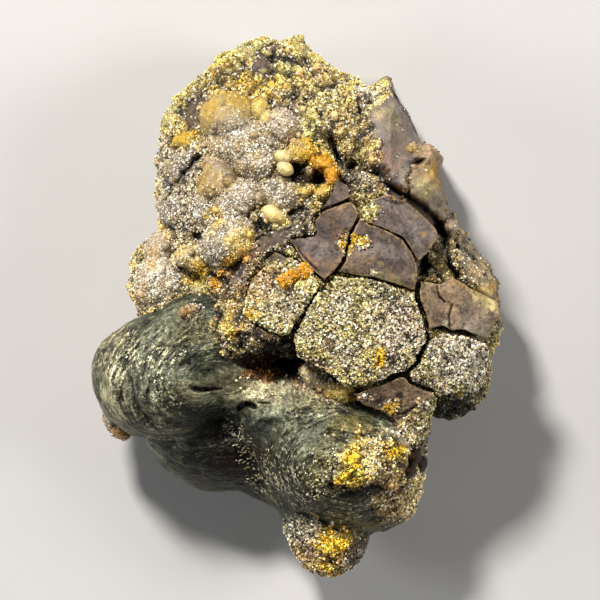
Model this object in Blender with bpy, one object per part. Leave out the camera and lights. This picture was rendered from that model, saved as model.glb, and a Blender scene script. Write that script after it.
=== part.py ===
"""A pyrite specimen, built as the one solid that it is: a smooth, lobed nodule below, a rough crust above it
that has dried and cracked into thick plates, round lumps on its left side, and a flat-faced spire at its top right.

It lies on its broken back. +Z points up out of the face that people look at, +Y towards the spire, the long way,
and the origin is on the surface that it rests on, under the middle of the specimen.
Lengths below are in millimetres unless a name says otherwise, and become metres as the mesh is made.
"""

import math

import bmesh
import bpy
import numpy as np

MM = 0.001

# How the parts join.
NODULE_BLEND = 3.0
CRUST_BLEND = 2.5
SEAM_BLEND = 1.0

# How the skin is found: from how far out, in how many steps, and how much of the distance left each step covers.
REACH = 80.0
STEPS = 60
STRIDE = 0.75

# How finely the skin is made.
BALL_DETAIL = 5
LUMP_DETAIL = 3
FUSE_STEP = 0.55
TRIANGLES = 9300

# Lobes: centre, half sizes and turn about +Z in degrees.
NODULE_HEART = (-3.0, -16.0, 16.0)
NODULE = {
    "left lobe": ((-23.0, -11.7, 19.5), (11.4, 10.2, 13.0), -15),
    "underside": ((-14.5, -20.3, 11.5), (12.2, 10.0, 11.5), -25),
    "nose": ((-13.5, -6.0, 20.0), (13.0, 9.8, 14.0), -10),
    "web": ((-3.7, -26.8, 10.5), (7.6, 6.0, 10.0), -40),
    "waist": ((-2.0, -15.5, 18.0), (13.0, 9.0, 13.5), 0),
    "right lobe": ((6.3, -24.0, 20.5), (13.2, 11.5, 15.5), -25),
    "right flank": ((15.0, -21.0, 18.0), (6.6, 9.5, 13.0), 0),
    "lower right": ((12.0, -30.0, 15.5), (8.0, 8.3, 11.5), -20),
    "neck": ((5.0, -34.0, 15.0), (7.6, 6.5, 10.0), 0),
    "tip": ((5.0, -39.7, 15.5), (6.0, 5.2, 8.0), 0),
}
CRUST_HEART = (3.0, 8.0, 16.0)
CRUST = {
    "crown": ((7.2, 2.5, 18.0), (23.0, 18.5, 21.4), -20),
    "core": ((1.0, 12.0, 15.0), (21.5, 21.0, 19.0), 0),
    "top": ((-4.0, 31.0, 14.5), (13.0, 12.8, 15.5), -12),
    "top right": ((4.8, 29.3, 14.0), (8.0, 9.0, 19.0), -30),
    "left side": ((-13.2, 18.0, 15.0), (9.4, 17.0, 16.0), 4),
    "left top": ((-13.6, 30.8, 13.0), (6.8, 6.8, 13.5), 0),
    "left foot": ((-20.2, 3.8, 13.5), (7.0, 8.6, 13.0), 10),
    "right side": ((25.8, -0.4, 15.0), (7.6, 8.2, 14.0), 0),
    "right foot": ((24.0, -9.8, 14.5), (7.6, 7.4, 14.0), -20),
    "ledge": ((-5.8, -2.6, 31.0), (6.6, 4.4, 7.6), -8),
    "ledge side": ((-10.6, -3.4, 30.5), (2.6, 4.0, 5.6), 0),
    "right slope": ((21.2, 7.4, 14.5), (7.6, 7.4, 14.5), -40),
    "shoulder": ((17.4, 18.4, 14.0), (5.8, 9.0, 14.0), 12),
}
SPIRE = ((15.5, 24.0, 15.0), (11.0, 17.0, 24.0), 0)
# Flat faces of the spire: which way each looks, and how far out it lies from the spire's middle.
SPIRE_FACES = {
    "front": ((0.55, 0.35, 0.76), 17.0),
    "left": ((-0.45, 0.38, 0.80), 18.6),
    "right": ((0.93, 0.38, 0.03), 5.3),
    "upper right": ((0.86, 0.50, 0.06), 5.6),
    "back": ((-0.45, 0.88, 0.14), 10.6),
}
# Hollows in the crust and in the nodule: centre, half sizes and turn.
CRUST_HOLLOWS = {
    "under the ledge": ((-3.6, -11.4, 29.0), (9.0, 4.6, 11.0), -10),
    "black hole": ((-0.6, 22.4, 36.0), (2.4, 1.8, 6.0), 20),
    "fissure": ((8.5, 23.0, 38.0), (6.5, 1.1, 7.0), -12),
}
NODULE_HOLLOWS = {
    "cavity": ((-2.7, -8.2, 30.0), (3.6, 2.9, 8.0), 0),
    "slot": ((-3.5, -9.2, 31.0), (8.6, 1.8, 4.6), -10),
}

# Folds in the nodule's skin: how deep (a ridge is below zero), how wide, and the line that each follows from above.
FOLDS = {
    "rolled edge": (1.5, 1.1, [(-28.9, -4.4), (-29.6, -9.8), (-28.0, -15.4), (-24.6, -19.6), (-21.5, -22.4)]),
    "second roll": (0.6, 0.7, [(-30.0, -10.0), (-29.6, -15.5), (-25.8, -21.6)]),
    "brow": (0.7, 0.6, [(-23.7, -11.7), (-20.9, -9.8), (-17.2, -9.1), (-13.6, -9.2)]),
    "chin valley": (2.0, 2.2, [(-20.6, -15.9), (-15.0, -16.9), (-11.2, -18.4), (-11.9, -21.4)]),
    "cheek": (0.9, 0.8, [(-10.6, -17.8), (-11.6, -21.0), (-7.8, -25.3), (-6.0, -30.4)]),
    "long ridge": (-0.7, 0.8, [(-7.0, -18.0), (-2.2, -17.8), (2.0, -17.1), (5.8, -16.7), (7.4, -16.0)]),
    "short ridge": (-0.6, 0.6, [(0.9, -19.2), (3.0, -18.5), (5.1, -17.6), (8.1, -16.9), (10.9, -16.6)]),
    "under the olive": (0.9, 0.6, [(5.6, -20.4), (8.1, -21.0), (10.7, -21.2), (13.5, -20.6)]),
    "druse foot": (1.3, 1.0, [(5.9, -29.6), (8.9, -30.4), (12.0, -29.6), (15.6, -31.4), (17.8, -30.2)]),
    "tip seam": (1.1, 0.8, [(0.6, -34.6), (4.9, -36.6), (8.1, -38.0), (13.5, -38.4)]),
}

# How far below the nodule's heart its folds still run.
FOLD_REACH = 6.0

# Crust relief: how far apart its knobs are, and how far they stand out.
KNOBS = ((7.5, 2.4), (3.4, 1.0))

# Plates of crust, laid on a dome: its top, and how sharply it falls away along X and Y.
DOME_TOP = (9.0, 4.0, 42.0)
DOME_FALL = (48.0, 52.0)
PLATE_THICK = 5.5
PLATE_LIFT = 0.8
EDGE_DROP = 0.35
CRACK_WIDE = 1.3
RINGS = (0.45, 0.93, 1.0)
SHARPEST = 0.35
# Each plate: its corners in order, seen from above.
PLATES = {
    "sliver": [(6.1, 21.3), (8.4, 20.3), (8.8, 18.0), (3.9, 16.1), (5.6, 18.8)],
    "left": [
        (3.9, 16.1), (8.8, 18.0), (9.9, 16.8), (10.4, 15.3), (8.8, 12.2), (8.4, 10.3), (7.6, 7.5),
        (6.4, 5.8), (4.4, 4.0), (0.5, 7.5), (-1.3, 10.5), (-1.7, 11.4), (2.9, 12.2), (2.4, 14.4),
    ],
    "middle": [
        (10.4, 15.3), (11.1, 14.1), (14.3, 13.0), (17.3, 11.5), (18.8, 9.3), (19.8, 7.2), (19.9, 5.3),
        (19.3, 2.7), (15.4, 4.0), (12.1, 5.0), (8.9, 5.3), (6.4, 5.8), (7.6, 7.5), (8.4, 10.3), (8.8, 12.2),
    ],
    "upper": [
        (10.4, 16.3), (12.9, 18.3), (15.1, 19.2), (18.6, 17.7), (20.9, 16.0), (23.3, 13.7), (23.8, 11.8),
        (22.1, 10.0), (19.9, 7.3), (18.8, 9.3), (17.3, 11.5), (14.3, 13.0), (11.1, 14.1), (10.4, 15.3),
    ],
    "right": [
        (19.9, 4.7), (23.3, 4.2), (25.6, 5.3), (29.1, 3.3), (33.3, 1.2), (33.8, -1.2), (31.4, -5.5),
        (29.4, -4.7), (27.1, -3.8), (25.1, -4.0), (23.8, -3.2), (21.4, -3.7), (20.8, -1.2), (19.8, 1.2),
    ],
    "druse middle": [
        (6.4, 5.8), (8.9, 5.3), (12.1, 5.0), (15.4, 4.0), (19.3, 2.7), (19.8, 1.2), (20.8, -1.2), (21.4, -3.7),
        (21.6, -5.5), (20.9, -6.3), (20.1, -8.0), (19.8, -9.0), (17.9, -10.7), (16.6, -10.7), (14.3, -12.0),
        (11.1, -13.0), (8.1, -13.5), (5.4, -11.2), (2.0, -9.3), (-0.3, -8.2), (-1.1, -4.7), (0.3, -2.2),
        (2.4, 1.5), (4.4, 4.0),
    ],
    "druse right": [
        (21.8, -5.0), (23.8, -3.8), (25.1, -4.3), (27.1, -4.2), (29.4, -5.2), (31.3, -5.8), (31.9, -7.3),
        (31.6, -9.5), (31.3, -12.8), (29.6, -14.0), (26.3, -14.0), (23.3, -14.7), (22.4, -13.3), (20.6, -12.8),
        (18.8, -11.8), (17.9, -10.7), (19.8, -9.0), (20.1, -8.0), (20.9, -6.3),
    ],
    "druse left": [
        (4.1, 3.7), (2.4, 1.5), (0.3, -2.2), (-1.2, -4.5), (-3.0, -4.7), (-5.4, -3.6), (-7.4, -2.7), (-9.2, -1.2),
        (-8.7, 1.8), (-7.8, 4.6), (-5.9, 6.6), (-5.2, 8.6), (-3.8, 9.7), (-1.3, 8.8), (0.9, 7.7), (2.6, 6.3),
    ],
    "brown": [
        (8.8, -14.0), (11.1, -13.3), (14.3, -12.3), (16.6, -11.2), (17.9, -11.2), (18.6, -12.3), (20.6, -13.3),
        (22.4, -13.8), (23.3, -15.3), (22.4, -18.7), (22.1, -21.2), (20.4, -24.5), (17.9, -22.0), (15.8, -18.3),
        (13.8, -17.3), (10.8, -16.2),
    ],
}

# Round lumps on the crust: centre, half sizes and turn.
LUMPS = {
    "great lump": ((-11.9, 32.6, 25.0), (3.8, 3.6, 6.0), 0),
    "sparkling lump": ((-8.3, 27.0, 28.4), (6.8, 4.6, 5.2), -15),
    "lower lump": ((-5.4, 24.4, 30.2), (4.4, 3.6, 4.4), 20),
    "right lump": ((-2.5, 30.0, 28.6), (3.0, 2.9, 4.4), 0),
    "yellow bumps": ((-6.6, 32.6, 28.4), (1.5, 2.1, 3.0), -20),
    "clear lump": ((-13.1, 21.2, 29.8), (3.2, 3.5, 4.6), 0),
    "row lump": ((-9.4, 17.9, 31.0), (4.3, 2.8, 3.8), 25),
    "long lump": ((-11.4, 11.3, 31.0), (5.0, 3.7, 5.0), 35),
    "small lump": ((-18.2, 8.8, 25.6), (2.5, 1.9, 3.6), 20),
    "round lump": ((-23.2, 4.6, 22.0), (3.9, 3.9, 5.0), 0),
    "edge lump": ((-22.6, 9.8, 20.0), (2.9, 2.6, 4.0), 0),
    "left field top": ((-17.6, 22.8, 24.6), (3.2, 4.4, 5.0), 12),
    "left field low": ((-18.9, 16.4, 23.4), (3.6, 3.8, 5.0), 0),
    "bright lump": ((-2.8, 18.9, 32.6), (3.5, 2.4, 3.4), -8),
    "ring lump": ((0.8, 25.4, 32.4), (2.0, 1.6, 3.4), 0),
    "orange lump": ((4.3, 22.0, 34.8), (2.0, 2.7, 3.2), 0),
    "peanut": ((-3.8, 15.4, 34.8), (2.1, 1.1, 1.6), -38),
    "orange spot": ((-0.1, 5.3, 40.1), (2.5, 1.3, 1.4), 0),
    "yellow oblong": ((-18.4, 27.8, 23.2), (2.6, 1.4, 3.6), 6),
    "yellow knob": ((-20.6, 31.0, 17.0), (1.9, 1.9, 3.0), 0),
    "top knob": ((-1.3, 42.6, 17.4), (2.1, 2.4, 4.0), 0),
    "top left knob": ((-8.6, 41.8, 18.0), (2.4, 2.0, 4.0), 0),
    "left knob": ((-18.4, 33.6, 17.4), (2.4, 2.6, 4.0), 0),
    "right ball": ((25.3, 13.2, 20.0), (1.7, 1.8, 2.5), 0),
    "brown knob": ((19.2, -24.6, 26.2), (2.2, 2.3, 3.2), 0),
    "low brown knob": ((18.3, -27.4, 25.6), (1.7, 1.6, 3.0), 0),
    "outer brown knob": ((20.2, -26.8, 22.0), (1.5, 1.6, 3.0), 0),
    "chin": ((-29.4, -20.2, 14.5), (2.2, 2.2, 3.4), 0),
    "upper chin": ((-31.0, -18.0, 15.0), (1.7, 2.0, 3.0), 0),
}


def turned(points, degrees):
    """The points turned about +Z."""
    c, s = math.cos(math.radians(degrees)), math.sin(math.radians(degrees))
    return points @ np.array([[c, s, 0.0], [-s, c, 0.0], [0.0, 0.0, 1.0]])


def lobe(points, centre, half, turn):
    """Distance from an ellipsoid's skin, below zero inside it."""
    local = turned(points - centre, -turn)
    near = np.linalg.norm(local / half, axis=1)
    steep = np.linalg.norm(local / np.square(half), axis=1)
    return near * (near - 1) / np.maximum(steep, 1e-9)


def smooth_union(a, b, blend):
    """The nearer of two distances, rounded off where they meet."""
    share = np.clip(0.5 + 0.5 * (b - a) / blend, 0, 1)
    return b * (1 - share) + a * share - blend * share * (1 - share)


def mass(points, lobes, blend):
    """Distance from lobes that flow into each other."""
    found = None
    for centre, half, turn in lobes.values():
        near = lobe(points, centre, half, turn)
        found = near if found is None else smooth_union(found, near, blend)
    return found


def spire(points):
    """Distance from the spire: a lobe with flat faces cut on it."""
    centre, half, turn = SPIRE
    found = lobe(points, centre, half, turn)
    for way, out in SPIRE_FACES.values():
        way = np.array(way) / np.linalg.norm(way)
        found = np.maximum(found, (points - centre) @ way - out)
    return found


def hollowed(points, whole, hollows):
    """The distance with each hollow's space taken out of the shape."""
    for centre, half, turn in hollows.values():
        whole = -smooth_union(-whole, lobe(points, centre, half, turn), SEAM_BLEND)
    return whole


def nodule(points):
    """Distance from the smooth nodule, with its hollows taken out."""
    return hollowed(points, mass(points, NODULE, NODULE_BLEND), NODULE_HOLLOWS)


def crust(points):
    """Distance from the crust's body and the spire, with the hollows taken out."""
    whole = smooth_union(mass(points, CRUST, CRUST_BLEND), spire(points), SEAM_BLEND)
    return hollowed(points, whole, CRUST_HOLLOWS)


def rock(points):
    """Distance from the whole specimen, before its plates and lumps."""
    return smooth_union(nodule(points), crust(points), SEAM_BLEND)


def knobbly(points, apart):
    """Round knobs, one in every cell of a loose grid: 1 on top of a knob, falling to 0 between knobs."""
    cell = np.floor(points / apart)
    nearest = np.full(len(points), 9.0)
    for step in np.ndindex(3, 3, 3):
        corner = cell + step - 1
        wave = corner @ np.array([[12.99, 39.35, 73.16], [78.23, 11.14, 52.24], [37.72, 83.16, 9.15]])
        middle = corner + np.modf(np.sin(wave) * 4375.85)[0] ** 2
        nearest = np.minimum(nearest, np.linalg.norm(points / apart - middle, axis=1))
    return np.clip(1 - np.square(nearest), 0, 1)


def push_out(ways, heart, skin):
    """The points where straight lines out of the heart leave the skin."""
    out = np.full(len(ways), REACH)
    for _ in range(STEPS):
        out -= STRIDE * skin(heart + ways * out[:, None])
    return heart + ways * out[:, None]


def rough(points, heart):
    """The points of the crust moved out of its heart by its knobs."""
    away = points - heart
    away /= np.linalg.norm(away, axis=1)[:, None]
    for apart, stand in KNOBS:
        points = points + away * (knobbly(points, apart) - 0.5)[:, None] * stand
    return points


def height(spots, skin):
    """How high the skin lies over each (x, y)."""
    up = np.full(len(spots), REACH)
    for _ in range(STEPS):
        up -= STRIDE * skin(np.column_stack([spots, up]))
        up = np.maximum(up, 0)
    return up


def dome(spots):
    """How high the plates' dome lies over each (x, y)."""
    away = spots - np.array(DOME_TOP[:2])
    return DOME_TOP[2] - np.sum(np.square(away) / DOME_FALL, axis=1)


def fresh_mesh(name, verts, faces):
    mesh = bpy.data.meshes.new(name)
    mesh.from_pydata([tuple(v * MM) for v in verts], [], faces)
    return mesh


def ball_of(name, detail, place):
    """An icosphere whose points are moved by a function of their directions."""
    bm = bmesh.new()
    bmesh.ops.create_icosphere(bm, subdivisions=detail, radius=1.0)
    ways = np.array([v.co for v in bm.verts])
    for vert, where in zip(bm.verts, place(ways)):
        vert.co = where * MM
    mesh = bpy.data.meshes.new(name)
    bm.to_mesh(mesh)
    bm.free()
    return mesh


def beside(spots, path):
    """How far each (x, y) is from a line with corners."""
    nearest = np.full(len(spots), 1e9)
    for a, b in zip(np.array(path[:-1]), np.array(path[1:])):
        along = b - a
        share = np.clip((spots - a) @ along / (along @ along), 0, 1)
        nearest = np.minimum(nearest, np.linalg.norm(spots - a - share[:, None] * along, axis=1))
    return nearest


def folded(points, heart):
    """The points of the nodule's upper skin moved in along its folds and out along its ridges."""
    away = points - heart
    away /= np.linalg.norm(away, axis=1)[:, None]
    for depth, wide, path in FOLDS.values():
        share = np.exp(-np.square(beside(points[:, :2], path) / wide)) * (points[:, 2] > heart[2] - FOLD_REACH)
        points = points - away * (depth * share)[:, None]
    return points


def nodule_ball(ways):
    """The nodule's folded skin, seen along each way from its heart."""
    heart = np.array(NODULE_HEART)
    return folded(push_out(ways, heart, nodule), heart)


def crust_ball(ways):
    """The crust's knobbly skin, seen along each way from its heart."""
    heart = np.array(CRUST_HEART)
    return rough(push_out(ways, heart, crust), heart)


def lump(name, centre, half, turn):
    """A round lump that sits half sunk in the rock."""
    return ball_of(name, LUMP_DETAIL, lambda ways: np.array(centre) + turned(ways * half, turn))


def drawn_in(corners, gap):
    """The outline with every side moved in by half a crack."""
    corners = np.array(corners)
    before, after = np.roll(corners, 1, axis=0), np.roll(corners, -1, axis=0)
    into, out_of = corners - before, after - corners
    left = [np.column_stack([-e[:, 1], e[:, 0]]) / np.linalg.norm(e, axis=1)[:, None] for e in (into, out_of)]
    x, y = corners.T
    area = np.sum(x * np.roll(y, -1) - y * np.roll(x, -1))
    aim = left[0] + left[1]
    aim /= np.maximum(np.sum(aim * left[0], axis=1), SHARPEST)[:, None]
    return corners + math.copysign(gap / 2, area) * aim


def plate(name, corners):
    """A slab of crust: its top follows the dome, or the rock where that is higher, and its sides go straight down."""
    rim = drawn_in(corners, CRACK_WIDE)
    middle = rim.mean(axis=0)
    rings = [middle + (rim - middle) * share for share in RINGS]
    flat = np.vstack([[middle], *rings])
    top = np.maximum(dome(flat), height(flat, rock) + PLATE_LIFT)
    n = len(rim)
    top[-n:] -= EDGE_DROP
    bottom = top[-n:] - PLATE_THICK
    verts = np.vstack([np.column_stack([flat, top]), np.column_stack([rim, bottom]), [[*middle, bottom.min()]]])
    faces = []
    for i in range(n):
        j = (i + 1) % n
        faces.append((0, 1 + i, 1 + j))
        for ring in range(len(RINGS)):
            a, b = 1 + ring * n, 1 + (ring + 1) * n
            faces.append((a + i, b + i, b + j, a + j))
        faces.append((b + i, len(verts) - 1, b + j))
    return fresh_mesh(name, verts, faces)


def fused(meshes):
    """The shapes joined and grown together in one skin by a voxel remesh."""
    bm = bmesh.new()
    for mesh in meshes:
        bm.from_mesh(mesh)
        bpy.data.meshes.remove(mesh)
    bmesh.ops.recalc_face_normals(bm, faces=bm.faces)
    mesh = bpy.data.meshes.new("pyrite_specimen")
    bm.to_mesh(mesh)
    bm.free()
    whole = bpy.data.objects.new("pyrite_specimen", mesh)
    bpy.context.scene.collection.objects.link(whole)
    remesh = whole.modifiers.new("grown together", "REMESH")
    remesh.mode = "VOXEL"
    remesh.voxel_size = FUSE_STEP * MM
    return baked(whole)


def baked(whole):
    """The object with its modifiers applied and only its largest body kept."""
    graph = bpy.context.evaluated_depsgraph_get()
    mesh = bpy.data.meshes.new_from_object(whole.evaluated_get(graph))
    whole.modifiers.clear()
    whole.data = mesh
    return whole


def keep_largest(whole):
    """Removes loose crumbs and sealed bubbles."""
    bm = bmesh.new()
    bm.from_mesh(whole.data)
    left, bodies = set(bm.verts), []
    while left:
        body, edge = set(), [left.pop()]
        while edge:
            vert = edge.pop()
            body.add(vert)
            for link in vert.link_edges:
                other = link.other_vert(vert)
                if other in left:
                    left.remove(other)
                    edge.append(other)
        bodies.append(body)
    bodies.sort(key=len)
    for body in bodies[:-1]:
        bmesh.ops.delete(bm, geom=list(body), context="VERTS")
    bm.to_mesh(whole.data)
    bm.free()


def cut_flat(whole):
    """Cuts the underside off flat at the surface that it rests on, and closes the cut."""
    bm = bmesh.new()
    bm.from_mesh(whole.data)
    everything = bm.verts[:] + bm.edges[:] + bm.faces[:]
    bmesh.ops.bisect_plane(bm, geom=everything, plane_co=(0, 0, 0), plane_no=(0, 0, 1), clear_inner=True)
    rim = [edge for edge in bm.edges if edge.is_boundary]
    bmesh.ops.holes_fill(bm, edges=rim)
    bmesh.ops.triangulate(bm, faces=bm.faces)
    bm.to_mesh(whole.data)
    bm.free()


def pyrite():
    """The one material: dull brassy stone."""
    stone = bpy.data.materials.new("pyrite")
    stone.use_nodes = True
    shader = stone.node_tree.nodes["Principled BSDF"]
    shader.inputs["Base Color"].default_value = (0.30, 0.27, 0.18, 1)
    shader.inputs["Roughness"].default_value = 0.45
    shader.inputs["Metallic"].default_value = 0.6
    return stone


def main():
    for old in list(bpy.data.objects):
        bpy.data.objects.remove(old)
    meshes = [
        ball_of("nodule", BALL_DETAIL, nodule_ball),
        ball_of("crust", BALL_DETAIL, crust_ball),
    ]
    meshes += [plate(name, corners) for name, corners in PLATES.items()]
    meshes += [lump(name, *where) for name, where in LUMPS.items()]
    whole = fused(meshes)
    keep_largest(whole)
    thin = whole.modifiers.new("fewer faces", "DECIMATE")
    thin.ratio = TRIANGLES / sum(len(p.vertices) - 2 for p in whole.data.polygons)
    whole = baked(whole)
    cut_flat(whole)
    whole.data.materials.append(pyrite())


main()
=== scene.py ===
"""The looks of the pyrite specimen: a wrinkled metal nodule, a rough crust with cracked plates, round lumps,
a spire, and the many small crystals on them. Lengths are in millimetres until a mesh is made."""

import functools
import math

import bpy
import numpy as np
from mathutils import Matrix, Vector


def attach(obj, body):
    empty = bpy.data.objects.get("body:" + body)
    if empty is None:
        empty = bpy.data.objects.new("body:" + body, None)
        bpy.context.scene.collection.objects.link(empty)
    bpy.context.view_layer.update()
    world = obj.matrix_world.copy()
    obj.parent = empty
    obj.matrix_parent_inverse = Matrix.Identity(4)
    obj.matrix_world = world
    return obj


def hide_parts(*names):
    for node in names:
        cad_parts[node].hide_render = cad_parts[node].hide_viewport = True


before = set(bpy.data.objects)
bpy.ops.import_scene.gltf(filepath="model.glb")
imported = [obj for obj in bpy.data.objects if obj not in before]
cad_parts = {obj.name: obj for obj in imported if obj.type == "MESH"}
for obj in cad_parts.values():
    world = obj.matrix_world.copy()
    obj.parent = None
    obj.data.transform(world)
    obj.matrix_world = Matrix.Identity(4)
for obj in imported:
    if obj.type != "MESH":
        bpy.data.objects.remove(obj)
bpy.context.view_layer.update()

MM = 0.001
DICE = np.random.default_rng(7)

# ---------------------------------------------------------------- the body's shape

# The walk to a skin, outwards and down: its steps, the share of the distance in each, and the start above.
OUT_STEPS, OUT_STRIDE = 26, 0.9
DOWN_STEPS, DOWN_STRIDE, DOWN_FROM = 40, 0.8, 48
# How softly lobes flow together: in the nodule, in the crust, and at seams and hollows.
NODULE_BLEND = 3
CRUST_BLEND = 2.5
SEAM_BLEND = 1

# Lobes and hollows: centre, half sizes and turn about +Z in degrees.
NODULE_HEART = (-3, -16, 18)
NODULE = {
    "left lobe": ((-23, -11.7, 19.5), (11.4, 10.2, 13), -15),
    "underside": ((-14.5, -20.3, 11.5), (12.2, 10, 11.5), -25),
    "nose": ((-13.5, -6, 20), (13, 9.8, 14), -10),
    "web": ((-3.7, -26.8, 10.5), (7.6, 6, 10), -40),
    "waist": ((-2, -15.5, 18), (13, 9, 13.5), 0),
    "right lobe": ((6.3, -24, 20.5), (13.2, 11.5, 15.5), -25),
    "right flank": ((15, -21, 18), (6.6, 9.5, 13), 0),
    "lower right": ((12, -30, 15.5), (8, 8.3, 11.5), -20),
    "neck": ((5, -34, 15), (7.6, 6.5, 10), 0),
    "tip": ((5.7, -39.4, 15.5), (5.5, 5, 8), 0),
}
CRUST_HEART = (3, 8, 18)
CRUST = {
    "crown": ((7.2, 2.5, 18), (23, 18.5, 21.4), -20),
    "core": ((1, 12, 15), (21.5, 21, 19), 0),
    "top": ((-4, 31, 14.5), (13, 12.8, 15.5), -12),
    "top right": ((4.8, 29.3, 14), (8, 9, 19), -30),
    "left side": ((-13.2, 18, 15), (9.4, 17, 16), 4),
    "left top": ((-13.6, 30.8, 13), (6.8, 6.8, 13.5), 0),
    "left foot": ((-20.2, 3.8, 13.5), (7, 8.6, 13), 10),
    "right side": ((25.8, -0.4, 15), (7.6, 8.2, 14), 0),
    "right foot": ((24, -9.8, 14.5), (7.6, 7.4, 14), -20),
    "ledge": ((-5.8, -2.6, 31), (6.6, 4.4, 7.6), -8),
    "ledge side": ((-10.6, -3.4, 30.5), (2.6, 4, 5.6), 0),
    "right slope": ((21.2, 7.4, 14.5), (7.6, 7.4, 14.5), -40),
    "shoulder": ((17.4, 18.4, 14), (5.8, 9, 14), 12),
}
SPIRE = ((15.5, 24, 15), (11, 17, 24), 0)
# Flat faces of the spire: which way each looks, and how far out it lies from the spire's middle.
SPIRE_FACES = {
    "front": ((0.55, 0.35, 0.76), 17),
    "left": ((-0.45, 0.38, 0.8), 18.6),
    "right": ((0.93, 0.38, 0.03), 5.3),
    "upper right": ((0.86, 0.5, 0.06), 5.6),
    "back": ((-0.45, 0.88, 0.14), 10.6),
}
CRUST_HOLLOWS = {
    "under the ledge": ((-3.6, -11.4, 29), (9, 4.6, 11), -10),
    "black hole": ((-0.6, 22.4, 36), (2.4, 1.8, 6), 20),
    "fissure": ((8.5, 23, 38), (6.5, 1.1, 7), -12),
}
NODULE_HOLLOWS = {
    "cavity": ((-2.7, -8.2, 30), (3.6, 2.9, 8), 0),
    "slot": ((-3.5, -9.2, 31), (8.6, 1.8, 4.6), -10),
}

# Folds in the nodule's skin: how deep (a ridge is below zero), how wide, and the line that each follows.
FOLDS = {
    "rolled edge": (1.5, 1.1, [(-28.9, -4.4), (-29.6, -9.8), (-28, -15.4), (-24.6, -19.6), (-21.5, -22.4)]),
    "second roll": (0.6, 0.7, [(-30, -10), (-29.6, -15.5), (-25.8, -21.6)]),
    "brow": (0.5, 0.6, [(-23.7, -11.7), (-20.9, -9.8), (-18.2, -9.2)]),
    "chin valley": (2, 2.2, [(-20.6, -15.9), (-15, -16.9), (-11.2, -18.4), (-11.9, -21.4)]),
    "cheek": (0.9, 0.8, [(-10.6, -17.8), (-11.6, -21), (-7.8, -25.3), (-6, -30.4)]),
    "long ridge": (-0.7, 0.8, [(-7, -18), (-2.2, -17.8), (2, -17.1), (5.8, -16.7), (7.4, -16)]),
    "short ridge": (-0.6, 0.6, [(0.9, -19.2), (3, -18.5), (5.1, -17.6), (8.1, -16.9), (10.9, -16.6)]),
    "under the olive": (0.9, 0.6, [(5.6, -20.4), (8.1, -21), (10.7, -21.2), (13.5, -20.6)]),
    "druse foot": (1.3, 1, [(5.9, -29.6), (8.9, -30.4), (12, -29.6), (15.6, -31.4), (17.8, -30.2)]),
    "tip seam": (1.1, 0.8, [(0.6, -34.6), (4.9, -36.6), (8.1, -38), (13.5, -38.4)]),
}
# How far below the nodule's heart the folds go.
FOLD_REACH = 6

# Crust relief: how far apart its knobs are, and how far they stand out.
KNOBS = ((7.5, 2.0), (3.4, 1.7), (1.7, 1.2), (0.85, 0.4))

# The dome that the plates lie on: its top, and how slowly it falls along x and y.
DOME_TOP = (9, 4, 42)
DOME_FALL = (48, 52)
# How thick the plates are, and how far above the rock they stay.
PLATE_THICK = 5.5
PLATE_LIFT = 0.8

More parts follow.
